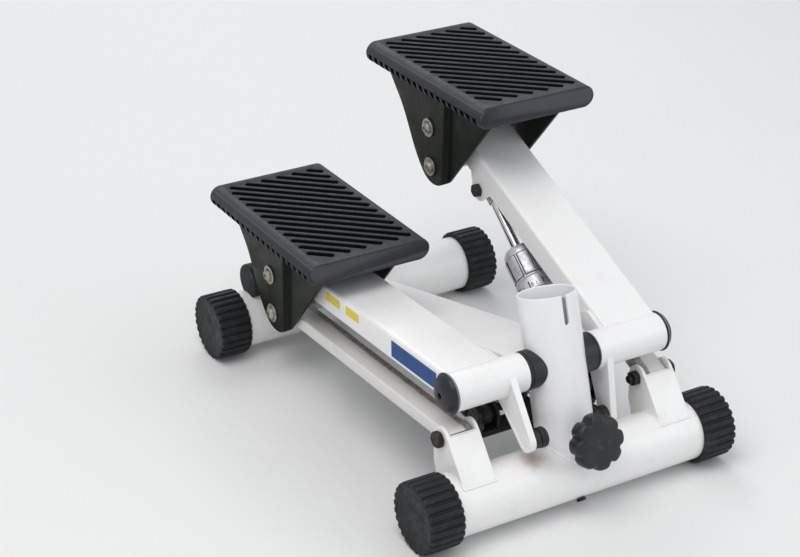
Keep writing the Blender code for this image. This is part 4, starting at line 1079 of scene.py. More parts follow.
@dataclass
class Post:
    """Open post that takes a handle column, with its knob boss and welds."""

    lean: float = 16.9
    radius: float = 28.7
    wall: float = 2.2
    length: float = 173.8
    slot_width: float = 5.2
    slot_depth: float = 28.8
    # Depth of the painted light inside the post's rim; deeper bore faces take painted shade.
    bore_paint: float = 13.0
    knob_along: float = 36.0

    @property
    def axis(self) -> Vector:
        """Upward direction of the post."""
        return Vector((0.0, math.sin(math.radians(self.lean)), math.cos(math.radians(self.lean))))

    @property
    def facing(self) -> Vector:
        """Direction in which the knob faces."""
        return Vector((0.0, -math.cos(math.radians(self.lean)), math.sin(math.radians(self.lean))))

    def clear(self, piece: Piece, gap: float) -> None:
        """Cuts the post's round space out of a piece, wider than the post by a gap."""
        Bench.drill(piece, FRONT_TUBE, FRONT_TUBE + self.axis * 260, self.radius + gap)

    def build(self) -> None:
        """Makes the post, its boss and the weld at its foot."""
        foot = FRONT_TUBE
        top = foot + self.axis * self.length
        r, inner, reach = self.radius, self.radius - self.wall, self.length - 5.0
        corners = [(0.0, inner), (0.0, r), (reach, r), (reach, inner), (reach - self.bore_paint, inner)]
        post = Bench.turned(foot + self.axis * 5, self.axis, corners, 0.9, 144, ring=True)
        Bench.saddle(post, foot, 29.9, 144)
        arch = Outline.arc((0.0, self.slot_depth - self.slot_width / 2), self.slot_width / 2, 0, 180, 14)
        arch += [(-self.slot_width / 2, -6.0), (self.slot_width / 2, -6.0)]
        Bench.cut(post, Bench.stack([[top + self.facing * depth + X_AXIS * a - self.axis * d for a, d in arch]
                                     for depth in (self.radius - 9, self.radius + 7)]))
        Bench.saddle(post, PINS.pivot, 8.3, 48)
        origin = foot + self.axis * self.knob_along
        Bench.drill(post, origin + self.facing * 12, origin + self.facing * 60, 5.6, 48)

        def bore(p: Vector) -> int:
            """Finish of a face: outside paint, painted light on the bore near the rim, or painted shade
            deeper in the bore.

            Args:
                p: Middle of the face.

            Returns:
                Number of the finish.
            """
            up = (p - foot).dot(self.axis)
            away = (p - foot - self.axis * up).length
            if away > self.radius - self.wall * 0.7:
                return 0
            return 1 if up > self.length - self.bore_paint else 2

        # The bore takes painted light near the rim and painted shade deeper in.
        tint(post, (FINISH.post_white, FINISH.bore_white, FINISH.bore_steel), bore)
        dress(post, "post_skin", FINISH.post_white, "base")
        ends = (origin + self.facing * (self.radius + away) for away in (-1.4, 8.5))
        dress(Bench.pipe(*ends, 9.5, 5.5, 0.8, 48), "knob_boss", FINISH.post_white, "base")
        self.welds(origin)

    def welds(self, origin: Vector) -> None:
        """Weld beads at the post's foot and round the knob's boss.

        Args:
            origin: Point of the post's axis behind the boss.
        """
        path = []
        for i in range(96):
            t = 2 * math.pi * i / 96
            spot = FRONT_TUBE + (self.radius + 0.4) * (math.cos(t) * X_AXIS - math.sin(t) * self.facing)
            for _ in range(40):
                spot += self.axis * (30.6 - math.hypot(spot.y - FRONT_TUBE.y, spot.z - FRONT_TUBE.z)) * 0.7
            path.append(spot)
        dress(Bench.bead(path, 1.7, closed=True), "post_weld", FINISH.base_white, "base")
        path = []
        for a, b in Outline.arc((0.0, 0.0), 10.0, 0, 352.5, 47):
            depth = math.sqrt(self.radius ** 2 - a * a)
            path.append(origin + X_AXIS * a + self.axis * b + self.facing * depth)
        dress(Bench.bead(path, 1.3, closed=True), "boss_weld", FINISH.post_white, "base")


@dataclass
class Spine:
    """Wide channel from the rear tube to the back of the post."""

    half: float = 35.0
    depth: float = 22.0
    sheet: float = 2.5
    front_top: float = 141.0
    rear_top: float = 53.0
    bend: float = 4.5

    def build(self) -> None:
        """Makes the channel, cut to both tubes."""
        pivot = PINS.pivot
        rear = REAR_TUBE.y - 25.0
        front = pivot.y + 20.0
        rise = (self.front_top - self.rear_top) / (rear - front)
        start, end = pivot.y + 5.0, REAR_TUBE.y - 9.0
        h, d, s = self.half, self.depth, self.sheet
        corners = [(-h, -d, 0.6), (-h, 0.0, self.bend), (h, 0.0, self.bend), (h, -d, 0.6), (h - s, -d, 0.6),
                   (h - s, -s, self.bend - s), (-h + s, -s, self.bend - s), (-h + s, -d, 0.6)]
        shape = Outline.eased(corners, 0.6, steps=6)
        spine = Bench.stack([[(x, y, self.rear_top + (rear - y) * rise + z) for x, z in shape]
                             for y in (start, end)])
        Bench.saddle(spine, REAR_TUBE, 29.6)
        clear = pivot.y + 25.0
        for side in Side:
            corner = [(start - 20, 60), (clear, 60), (clear, 190), (start - 20, 190)]
            Bench.cut(spine, Bench.pressed(corner, side.sign * 15.0, side.sign * (h + 10)))
        Post().clear(spine, -0.6)
        dress(spine, "spine_skin", FINISH.white, "base")
        y, z = Outline.arc((REAR_TUBE.y, REAR_TUBE.z), 30.4, 150, 150, 1)[0]
        path = [Vector((-h + i * h / 20, y, z)) for i in range(41)]
        dress(Bench.bead(path, 1.5), "spine_weld", FINISH.white, "base")


@dataclass
class Clevis(Sided):
    """Bent bracket on the front tube for one lower bar."""

    middle: float = 112.5
    gap: float = 29.0
    sheet: float = 3.0
    ear: float = 12.0

    def build(self) -> None:
        """Makes the bracket, its foot weld and its bolt."""
        tube = FRONT_TUBE
        y, z = PINS.bar.y, PINS.bar.z
        x = self.side.sign * self.middle
        outer = self.gap / 2 + self.sheet
        lip, toe = Vector((y - 11.7, z + 5.3)), Vector((tube.y - 20.0, 56.0))
        outline = Outline.arc((y, z), self.ear, 150, 0, 28)
        outline += [(y + self.ear - 1.0, 66.0), (tube.y + 29.5, 46.0), (tube.y, tube.z), (toe.x, toe.y),
                    (lip.x, lip.y)]
        bracket = Bench.pressed(outline, x - outer, x + outer)
        lean = (toe - lip).normalized()
        inward = Vector((-lean.y, lean.x))
        if inward.x < 0:
            inward = -inward
        bottom = toe + inward * self.sheet + lean * 20
        top = lip + inward * self.sheet - lean * 40
        pocket = [(bottom.x, bottom.y), (top.x, top.y), (top.x + 90, top.y), (bottom.x + 90, bottom.y)]
        Bench.cut(bracket, Bench.pressed(pocket, x - self.gap / 2, x + self.gap / 2))
        gap = [(y - 40, lip.y), (y + 40, lip.y), (y + 40, z + 40), (y - 40, z + 40)]
        Bench.cut(bracket, Bench.pressed(gap, x - self.gap / 2, x + self.gap / 2))
        Bench.soften(Bench.saddle(bracket, tube, 29.8, 128), 1.4, 4, 40.0)
        dress(bracket, self.name("clevis_skin"), FINISH.base_white, "base")
        self.weld(x, outer)
        self.bolt(x)

    def weld(self, x: float, outer: float) -> None:
        """Bead along the bracket's foot.

        Args:
            x: Middle of the bracket.
            outer: Half its width.
        """
        bend = Outline.arc((FRONT_TUBE.y, FRONT_TUBE.z), 30.5, 40, 123, 16)
        path = [Vector((x - outer, *spot)) for spot in bend]
        path += [Vector((x - outer + 2 * outer * i / 16, *bend[-1])) for i in range(1, 16)]
        path += [Vector((x + outer, *spot)) for spot in bend[::-1]]
        dress(Bench.bead(path, 1.1), self.name("clevis_weld"), FINISH.base_white, "base")

    def bolt(self, x: float) -> None:
        """Dark bolt through both ears, with its nut inside.

        Args:
            x: Middle of the bracket.
        """
        out, centre = self.out, PINS.bar + X_AXIS * x
        face = self.gap / 2 + self.sheet + 0.3
        shank = Bench.bar(centre - out * (face + 10.4), centre + out * face, 4.0, 0.6)
        head = Fastener(8.6, 6.4, 2.6).hexagon(centre + out * face, out)
        nut = Fastener(8.0, 6.6, 2.6).hexagon(centre - out * face, -out, 35.0)
        dress(Bench.join([shank, head, nut]), self.name("clevis_bolt_skin"), FINISH.dark_bolt, "base")


@dataclass
class BaseFittings:
    """Shaft, spacers, cross bar, damper mounts, stop and small screws."""

    spacer_radius: float = 19.2
    shaft_radius: float = 8.0
    shaft_reach: float = 121.0

    def build(self) -> None:
        """Makes every small piece of the base."""
        pivot = PINS.pivot
        reach = X_AXIS * self.shaft_reach
        shaft = Bench.bar(pivot - reach, pivot + reach, self.shaft_radius, 0.8)
        dress(shaft, "pivot_shaft_skin", FINISH.zinc, "base")
        for side in Side:
            self.spacer(side)
            self.mount(side)
        self.cross_bar()
        self.stop()
        self.screw()

    def spacer(self, side: Side) -> None:
        """Black collar between the post and a sleeve, with its two rim lines.

        Args:
            side: Which side.
        """
        r = self.spacer_radius
        corners = [(0.0, 8.3, 0.0), (0.0, r - 0.3, 0.8), (1.9, r - 0.1, 0.3), (2.1, r - 0.8, 0.2),
                   (2.9, r - 0.8, 0.2), (3.1, r - 0.1, 0.3), (27.6, r, 0.0), (27.6, 8.3, 0.0)]
        start = PINS.pivot + X_AXIS * side.sign * 39.7
        spacer = Bench.turned(start, -X_AXIS * side.sign, corners, 0.3, 96, ring=True)
        Post().clear(spacer, 0.35)
        dress(spacer, side.word + "_spacer_skin", FINISH.plastic, "base")

    def cross_bar(self) -> None:
        """Flat bar behind the post, with its tongue and rocker pin."""
        low, high = box("cross_bar")
        rocker = PINS.places["rocker_pivot"]
        front, rear = PINS.pivot.y + 24.0, PINS.pivot.y + 44.0
        under = low.z + 2.0
        half = high.x
        outline = Outline.eased([(-half, front), (half, front), (half, rear), (-half, rear)], 4.0, steps=6)
        bar = Bench.slab(outline, under, high.z)
        tongue = Outline.hull([((0.0, rocker.y), 13.0), ((-13.0, rear - 2), 0.0), ((13.0, rear - 2), 0.0)])
        neck = [(-20.0, front - 32.0), (20.0, front - 32.0), (24.0, front + 2.0), (-24.0, front + 2.0)]
        Bench.combine(bar, Bench.slab(neck, under, high.z), "UNION")
        Bench.combine(bar, Bench.slab(tongue, under, high.z), "UNION")
        Bench.saddle(bar, FRONT_TUBE, 30.0)
        Post().clear(bar, -0.3)
        Bench.soften(bar, 0.9, 3, 40.0)
        dress(bar, "cross_bar_skin", FINISH.grease, "base")
        bottom, top = (corner.z for corner in box("rocker"))
        centre = Vector((rocker.x, rocker.y, 0.0))
        corners = [(under + 0.5, 0.0, 0.0), (under + 0.5, 5.0), (high.z + 0.3, 5.0), (high.z + 0.3, 9.0),
                   (bottom - 0.3, 9.0), (bottom - 0.3, 5.0), (top + 0.3, 5.0), (top + 0.3, 8.0),
                   (top + 5.0, 8.0), (top + 5.0, 0.0, 0.0)]
        dress(Bench.turned(centre, Z_AXIS, corners, 0.4, 48), "rocker_pin_skin", FINISH.dark_bolt, "base")

    def mount(self, side: Side) -> None:
        """Ears and pin that hold a damper's foot.

        Args:
            side: Which side.
        """
        node = side.word + "_damper_mount"
        low, high = box(node)
        foot = PINS.places[side.word + "_damper_foot"]
        x = (low.x + high.x) / 2
        outline = Outline.arc((foot.y, foot.z), high.z - foot.z, 180, 0, 32)
        outline += [(high.y, low.z), (low.y, low.z)]
        mount = Bench.pressed(outline, low.x, high.x)
        pocket = [(low.y - 20, low.z + 3), (high.y + 20, low.z + 3), (high.y + 20, 130), (low.y - 20, 130)]
        Bench.cut(mount, Bench.pressed(pocket, x - 8.2, x + 8.2))
        Bench.soften(mount, 0.8, 3, 40.0)
        ends = (Vector((end, foot.y, foot.z)) for end in (low.x + 0.2, high.x - 0.2))
        pin = Bench.bar(*ends, 4.7)
        dress(Bench.join([mount, pin]), node + "_skin", FINISH.grease, "base")

    def stop(self) -> None:
        """Round rubber stop on the rear tube."""
        low, high = box("rear_stop")
        r, w = (high.y - low.y) / 2, high.x - low.x
        centre = Vector((low.x, (low.y + high.y) / 2, high.z - r))
        corners = [(0.0, 0.0, 0.0), (0.0, r - 3.0, 0.3), (0.0, r - 0.6, 1.0), (1.4, r, 1.0),
                   (w - 1.4, r, 1.0), (w, r - 0.6, 1.0), (w, r - 3.0, 0.3), (w - 0.7, r - 3.6, 0.3),
                   (w - 0.7, 4.4, 0.4), (w - 2.0, 4.0, 0.4), (w - 2.0, 0.0, 0.0)]
        stop = Bench.saddle(Bench.turned(centre, X_AXIS, corners, 0.3), REAR_TUBE, 30.3)
        dress(stop, "rear_stop_skin", FINISH.rubber, "base")

    def screw(self) -> None:
        """Small screw under the front tube."""
        axis = Vector((0.0, -0.66, -0.75)).normalized()
        head = Fastener(5.0, 3.5).hexagon(FRONT_TUBE + axis * 30.3, axis)
        dress(head, "tube_screw_skin", FINISH.dark_bolt, "base")


# knob


@dataclass
class Knob:
    """Lobed hand knob and its screw."""

    radius: float = 27.0
    lobes: int = 8
    valley: float = 4.6
    face: float = 61.7
    thickness: float = 19.0

    def rim(self, turn: float) -> float:
        """Radius of the lobed rim at an angle.

        Args:
            turn: Angle in radians.

        Returns:
            The radius.
        """
        pitch = 2 * math.pi / self.lobes
        off = ((turn + pitch / 2) % pitch - pitch / 2) / (pitch / 2)
        away = 1.0 - abs(off)
        dip = math.exp(-(away / 0.30) ** 2)
        return self.radius - self.valley * dip - 0.9 * off * off * (1 - dip)

    def build(self) -> None:
        """Makes the knob and its screw."""
        post = Post()
        origin, facing = FRONT_TUBE + post.axis * post.knob_along, post.facing
        side, up = Bench.across(facing)
        back = self.face - self.thickness
        count = self.lobes * 20
        stations = [(back + on, scale, lobed) for on, scale, lobed in (
            (0.0, 0.80, 0.25), (0.3, 0.88, 0.55), (1.4, 0.95, 0.85), (3.2, 0.985, 1.0), (7.0, 1.0, 1.0))]
        stations += [(self.face - off, scale, lobed) for off, scale, lobed in (
            (6.5, 1.0, 1.0), (4.0, 0.985, 1.0), (2.2, 0.955, 0.95), (1.2, 0.91, 0.8), (0.6, 0.84, 0.45),
            (0.25, 0.70, 0.12), (0.05, 0.50, 0.0), (0.1, 0.24, 0.0), (0.35, 0.17, 0.0), (1.0, 0.12, 0.0),
            (1.2, 0.03, 0.0))]
        rings = []
        for along, scale, lobed in stations:
            ring = []
            for i in range(count):
                t = 2 * math.pi * i / count
                r = (self.rim(t) * lobed + self.radius * (1 - lobed)) * scale
                ring.append(origin + facing * along + r * (math.cos(t) * side + math.sin(t) * up))
            rings.append(ring)
        corners = [(back - 3.2, 5.3, 0.3), (back - 3.2, 12.0, 0.8), (back + 0.6, 13.0, 0.3),
                   (back + 0.6, 5.3, 0.0)]
        hub = Bench.turned(origin, facing, corners, 0.3, 64, ring=True)
        dress(Bench.join([Bench.stack(rings), hub]), "knob_skin", FINISH.plastic, "knob", 50.0)
        corners = [(14.0, 0.0), (14.0, 4.2), (15.0, 5.0)]
        along = 15.0
        while along < back + 4.0:
            corners += [(along + 0.45, 5.0), (along + 0.75, 4.45), (along + 1.05, 4.45), (along + 1.35, 5.0)]
            along += 1.5
        corners += [(back + 8.0, 5.0), (back + 8.0, 0.0)]
        dress(Bench.turned(origin, facing, corners, 0.0, 32), "knob_screw_skin", FINISH.zinc, "knob")


# arms


@dataclass
class Arm(Sided):
    """Lever arm: sleeve, channel, lug pair, lever and its fittings."""

    width: float = 60.0
    middle: float = 88.4
    top: float = 16.0
    bottom: float = -9.7
    sheet: float = 2.3
    reach: float = 336.0
    sleeve: float = 18.9
    sleeve_in: float = 40.3
    sleeve_out: float = 118.4
    damper_along: float = 238.5
    damper_height: float = -18.0
    lever_in: float = 51.7
    lever_out: float = 58.3
    lever_shift: float = -5.2
    lever_root: float = 18.5
    lever_tip: float = 10.3

    def x(self, distance: float) -> float:
        """Signed x for a distance from the middle plane."""
        return self.side.sign * distance

    def lever_x(self, distance: float) -> float:
        """Signed x for a distance from the levers' own middle plane."""
        return self.x(distance) + self.lever_shift

    def build(self) -> None:
        """Makes every piece of the arm."""
        self.build_sleeve()
        self.build_channel()
        self.build_lever()
        self.build_films()

    def build_sleeve(self) -> None:
        """Sleeve, its bush and its domed end cap."""
        out, pivot = self.out, PINS.pivot
        start, end = pivot + out * self.sleeve_in, pivot + out * self.sleeve_out
        sleeve = Bench.pipe(start, end, self.sleeve, self.sleeve - 3, 0.8, 112)
        self.dress(sleeve, "sleeve_skin", FINISH.white, "arm")
        bush = Bench.pipe(start + out * 0.4, end - out * 0.2, 15.6, 8.3, 0.5, 48)
        self.dress(bush, "bush_skin", FINISH.nylon, "arm")
        rim = self.sleeve + 1.25
        corners = [(0.3, 10.2, 0.2), (0.3, rim - 0.6, 0.5), (1.3, rim, 0.5), (2.3, rim - 0.1, 0.4),
                   (2.6, rim - 1.0, 0.3), (3.1, rim - 1.2, 0.3), (5.2, 17.7, 1.5), (8.1, 14.0, 4.0),
                   (10.2, 9.0, 4.0), (10.85, 4.6, 1.0), (10.6, 3.1, 0.4), (5.2, 3.0, 0.2), (5.2, 10.2, 0.2)]
        cap = Bench.turned(end, out, corners, 0.3, 96, ring=True, steps=5)
        # The cap's outer rim takes a lighter grey as a painted highlight.
        tint(cap, (FINISH.plastic, FINISH.rim),
             lambda p: math.hypot(p.y - pivot.y, p.z - pivot.z) > rim - 0.2)
        self.dress(cap, "end_cap_skin", FINISH.plastic, "arm", 50.0)

    def build_channel(self) -> None:
        """Folded channel with rounded bends, and its weld to the sleeve."""
        h, s = self.width / 2, self.sheet
        corners = [(-h, self.bottom, 0.8), (-h, self.top, 4.2), (h, self.top, 4.2), (h, self.bottom, 0.8),
                   (h - s, self.bottom, 0.8), (h - s, self.top - s, 1.9), (-h + s, self.top - s, 1.9),
                   (-h + s, self.bottom, 0.8)]
        shape = Outline.eased(corners, 0.8, steps=7)
        centre = self.x(self.middle)
        rings = [[(centre + a, *PINS.along(self.side, t, b)) for a, b in shape]
                 for t in (9.4, 60.0, 120.0, 180.0, 240.0, 300.0, self.reach - 0.6, self.reach)]
        joined = Bench.join([Bench.stack(rings), *self.lugs(), self.gusset()])

        def inside(p: Vector) -> bool:
            """Whether a face lies inside the channel.

            Args:
                p: Middle of the face.

            Returns:
                True inside.
            """
            turn = math.radians(PINS.lean(self.side))
            over = (p.z - PINS.pivot.z) * math.cos(turn) - (p.y - PINS.pivot.y) * math.sin(turn)
            return abs(p.x - centre) < h - s + 0.02 and over < self.top - s * 0.9

        # Inner faces of the channel take the dark brown-grey as painted shade.
        tint(joined, (FINISH.white, FINISH.inside), inside)
        self.dress(joined, "arm_channel_skin", FINISH.white, "arm")
        heights = [self.bottom + 0.5 + (self.top - 4.4 - self.bottom) * i / 12 for i in range(13)]
        flank = [(h + 0.1, math.sqrt(self.sleeve ** 2 - b * b) + 0.3, b) for b in heights]
        flank.append((h - 1.3, 10.6, self.top - 1.2))
        path = [(-a, t, b) for a, t, b in flank]
        path += [(-h + 3.5 + (2 * h - 7.0) * i / 24, 10.2, self.top + 0.1) for i in range(25)] + flank[::-1]
        end = self.sleeve_out - 0.2
        seam = [Vector((min(max(centre + a, -end), end), *PINS.along(self.side, t, b))) for a, t, b in path]
        self.dress(Bench.bead(seam, 1.0), "arm_weld", FINISH.white, "arm")

    def lugs(self) -> list[Piece]:
        """Two lugs under the channel, and the bolt through them as a piece of its own.

        Returns:
            The lugs.
        """
        inner = self.middle - self.width / 2
        second = inner + self.sheet + 16.4
        head = (self.damper_along, self.damper_height)
        y, z = PINS.along(self.side, *head)
        lugs = []
        for start, end, top in ((inner + 0.12, inner + self.sheet - 0.05, self.bottom + 3),
                                (second, second + 3.0, self.top - 1.9)):
            shape = Outline.hull([(head, 12.0), ((head[0] - 20, top), 0.0), ((head[0] + 22, top), 0.0)], 72)
            lug = Bench.pressed([PINS.along(self.side, t, b) for t, b in shape], self.x(start), self.x(end))
            Bench.drill(lug, Vector((self.x(start - 9), y, z)), Vector((self.x(end + 9), y, z)), 4.3, 48)
            lugs.append(Bench.soften(lug, 0.6, 3, 40.0))
        out, place = self.out, Vector((0.0, y, z))
        shank = Bench.bar(place + out * (inner - 0.3), place + out * (second + 5.0), 4.0, 0.6)
        nut = Fastener(7.6, 5.6, 1.8).hexagon(place + out * (inner - 0.3), -out, 25.0)
        self.dress(Bench.join([shank, nut]), "damper_bolt_skin", FINISH.grease, "arm")
        return lugs

    def gusset(self) -> Piece:
        """Small plate beside the channel at the sleeve.

        Returns:
            The plate.
        """
        shape = Outline.eased([(10.0, 13.5, 0.6), (36.0, 13.5, 2.5), (44.0, 4.0, 2.5),
                               (44.0, self.bottom + 1.5, 1.5), (12.0, self.bottom + 1.5, 0.6)], 1.0)
        outline = [PINS.along(self.side, t, b) for t, b in shape]
        inner = self.middle - self.width / 2
        return Bench.soften(Bench.pressed(outline, self.x(inner - 4.0), self.x(inner + 0.5)), 0.9, 3, 40.0)

    def build_lever(self) -> None:
        """Pressed lever with a rolled rim, its pin and its rubber ring."""
        pin, pivot, out = PINS.places[self.name("link_pivot")], PINS.pivot, self.out
        ends = ((pivot.y, pivot.z), (pin.y, pin.z))
        outline = Outline.hull([(ends[0], self.lever_root), (ends[1], self.lever_tip)], 96)
        inner, outer = self.lever_x(self.lever_in), self.lever_x(self.lever_out)
        lever = Bench.pressed(outline, inner, outer)
        dish = Outline.hull([(ends[0], self.lever_root - 2.8), (ends[1], self.lever_tip - 2.8)], 96)
        Bench.cut(lever, Bench.pressed(dish, outer - 0.8 * out.x, outer + 5.0 * out.x))
        Bench.soften(Bench.saddle(lever, pivot, self.sleeve - 0.4), 1.3, 4, 40.0)
        tip = Vector((0.0, pin.y, pin.z))
        corners = [(-1.6, 0.0, 0.0), (-1.6, 5.0, 0.0), (-0.5, 5.0, 0.6), (-0.2, 3.4, 0.4), (-0.6, 2.0, 0.4),
                   (-0.6, 0.0, 0.0)]
        rivet = Bench.turned(tip + X_AXIS * outer, out, corners, 0.4, 40)
        low, high = box(self.name("lever_stop"))
        near, far = (low.x, high.x) if self.side is Side.RIGHT else (high.x, low.x)
        stub = Bench.bar(tip + X_AXIS * inner + out * 1.0, tip + X_AXIS * near + out * 0.7, 4.5, 0.8, 40)
        self.dress(Bench.join([lever, rivet, stub]), "lever_skin", FINISH.white, "arm", 42.0)
        w = abs(far - near)
        corners = [(0.0, 4.9, 0.3), (0.0, 9.0, 0.9), (1.3, 9.95, 0.8), (w - 3.6, 9.95, 0.4),
                   (w - 3.3, 9.3, 0.3), (w - 2.7, 9.3, 0.3), (w - 2.4, 9.95, 0.4), (w - 0.9, 9.95, 0.6),
                   (w, 9.0, 0.6), (w, 4.9, 0.3)]
        ring = Bench.turned(tip + X_AXIS * near, out, corners, 0.3, 64, ring=True)
        self.dress(ring, "lever_stop_skin", FINISH.plastic, "arm")

    def build_films(self) -> None:
        """Plain coloured bands on the left arm's outer side."""
        if self.side is not Side.LEFT:
            return
        for name, finish, corners in (
                ("arm_blue_band", FINISH.blue_film,
                 [(22.0, 10.6), (104.0, 10.6), (104.0, -6.6), (24.0, -6.6)]),
                ("arm_yellow_band", FINISH.yellow_film,
                 [(167.0, 11.2), (193.0, 11.2), (193.0, 1.6), (167.0, 1.6)]),
                ("arm_yellow_band_far", FINISH.yellow_film,
                 [(205.0, 11.2), (233.0, 11.2), (233.0, 1.6), (205.0, 1.6)])):
            outline = [PINS.along(self.side, t, b) for t, b in Outline.eased(corners, 1.2, steps=5)]
            face = self.middle + self.width / 2
            self.dress(Bench.pressed(outline, self.x(face - 0.3), self.x(face + 0.12)), name, finish, "arm")


@dataclass
class LowerBar(Sided):
    """Narrow channel under an arm, round at both ends."""

    middle: float = 112.5
    width: float = 26.6
    half_height: float = 7.0
    sheet: float = 2.2
    nose: float = 8.9
    reach: float = 321.0

    def build(self) -> None:
        """Makes the bar."""
        r, w, s = self.half_height, self.width / 2, self.sheet
        centre = self.side.sign * self.middle
        nose = [(t * self.nose / r, b) for t, b in Outline.arc((0.0, 0.0), r, 90, 270, 24)]
        shape = nose + Outline.arc((self.reach, 0.0), r, -90, 90, 24)
        outline = [PINS.along(self.side, t, b, PINS.bar) for t, b in shape]
        bar = Bench.pressed(outline, centre - w, centre + w)
        Bench.soften(bar, 2.0, 5, 50.0)
        inner = [(-30.0, -40.0), (-30.0, r - s), (self.reach + 30, r - s), (self.reach + 30, -40.0)]
        inner = [PINS.along(self.side, t, b, PINS.bar) for t, b in inner]
        Bench.cut(bar, Bench.pressed(inner, centre - w + s, centre + w - s))
        # The bar's inner half darkens under the arm: old dirt and painted shade.
        self.dress(bar, "lower_bar_skin", FINISH.old_white, "bar", 40.0)


# pedals


@dataclass
class Tread(Sided):
    """Foot plate: rounded long edges, slanting grooves, notched underside."""

    width: float = 138.0
    length: float = 220.0
    thick: float = 22.8
    groove_angle: float = -41.9
    pitch: float = 12.3
    phase: float = 2.3
    groove: float = 8.4
    depth: float = 3.8
    half_x: float = 55.2
    half_y: float = 98.5
    notch_count: int = 19
    notch_margin: float = 3.5

    @property
    def centre(self) -> Vector:
        """Middle of the top face."""
        low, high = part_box(self.name("tread"))
        return Vector(((low.x + high.x) / 2, (low.y + high.y) / 2, high.z)) / MM

    def blank(self) -> Piece:
        """Plain plate with rounded long edges and eased ends.

        Returns:
            The plate.
        """
        r = self.thick / 2
        reach = self.width / 2 - r
        section = Outline.arc((-reach, -r), r, 90, 270, 28) + Outline.arc((reach, -r), r, -90, 90, 28)
        rings = []
        half = self.length / 2
        for along, inset in ((-half, 0.9), (-half + 0.9, 0.0), (half - 0.9, 0.0), (half, 0.9)):
            shrink = (r - inset) / r
            ring = []
            for a, b in section:
                slide = math.copysign(inset * 0.5, a) if abs(a) > reach else 0.0
                ring.append(self.centre + Vector((a - slide, along, -r + (b + r) * shrink)))
            rings.append(ring)
        return Bench.stack(rings)

    def grooves(self) -> Piece:
        """Cutters of the slanting grooves, with rounded ends and sloping walls.

        Returns:
            All cutters in one object.
        """
        centre, turn = self.centre, math.radians(self.groove_angle)
        along = Vector((math.cos(turn), math.sin(turn)))
        square = Vector((-along.y, along.x))
        cutters = []
        for i in range(-13, 14):
            middle = square * (i * self.pitch + self.phase)
            start, end = -400.0, 400.0
            for limit, m, d in ((self.half_x, middle.x, along.x), (self.half_y, middle.y, along.y)):
                pair = sorted(((-limit - m) / d, (limit - m) / d))
                start, end = max(start, pair[0]), min(end, pair[1])
            if end - start < 15.0:
                continue
            rings = []
            for h, slim in ((-self.depth, 1.3), (-self.depth + 0.5, 0.85), (-0.5, 0.3), (-0.15, 0.1),
                            (0.0, -0.15), (3.0, -0.9)):
                w, first, last = self.groove / 2 - slim, start + slim, end - slim
                ends = Outline.eased([(first, -w), (last, -w), (last, w), (first, w)], w * 0.85, steps=5)
                rings.append([centre + Vector((*(middle + along * t + square * s), h)) for t, s in ends])
            cutters.append(Bench.stack(rings))
        return Bench.join(cutters)

    def notches(self) -> Piece:
        """Cutters of the notches under both long edges.

        Returns:
            All cutters in one object.
        """
        centre, half = self.centre, self.width / 2
        step = (self.length - 2 * self.notch_margin) / self.notch_count
        w, floor = step * 0.29, centre.z - self.thick
        cutters = []
        for sign in (-1, 1):
            for i in range(self.notch_count):
                y = centre.y - self.length / 2 + self.notch_margin + step * (i + 0.5)
                rings = []
                for away, rise in ((half - 14.0, 10.4), (half + 2.0, 11.4)):
                    square = ((y - w, floor - 3), (y + w, floor - 3), (y + w, floor + rise),
                              (y - w, floor + rise))
                    rings.append([(centre.x + sign * away, *spot) for spot in square])
                cutters.append(Bench.stack(rings))
        return Bench.join(cutters)

    def build(self) -> None:
        """Makes the foot plate, with a near-black finish in its grooves and notches as painted shade."""
        plate = Bench.cut(Bench.cut(self.blank(), self.notches()), self.grooves())
        Bench.soften(plate, 0.4, 2, 52.0)
        centre, r = self.centre, self.thick / 2

        def sunk(p: Vector) -> bool:
            """Whether a face lies in a groove or in a notch, where the painted shade goes.

            Args:
                p: Middle of the face.

            Returns:
                True inside them.
            """
            low, side = centre.z - p.z, abs(p.x - centre.x)
            if side < 60.5:
                return abs(p.y - centre.y) < 104.0 and 0.36 < low < 6.0
            return low > r and math.hypot(side - self.width / 2 + r, low - r) < r - 0.7

        # Groove and notch faces take the near-black finish as painted shade.
        tint(plate, (FINISH.tread, FINISH.groove), sunk)
        self.dress(plate, "tread_skin", FINISH.tread, "pedal", 38.0)


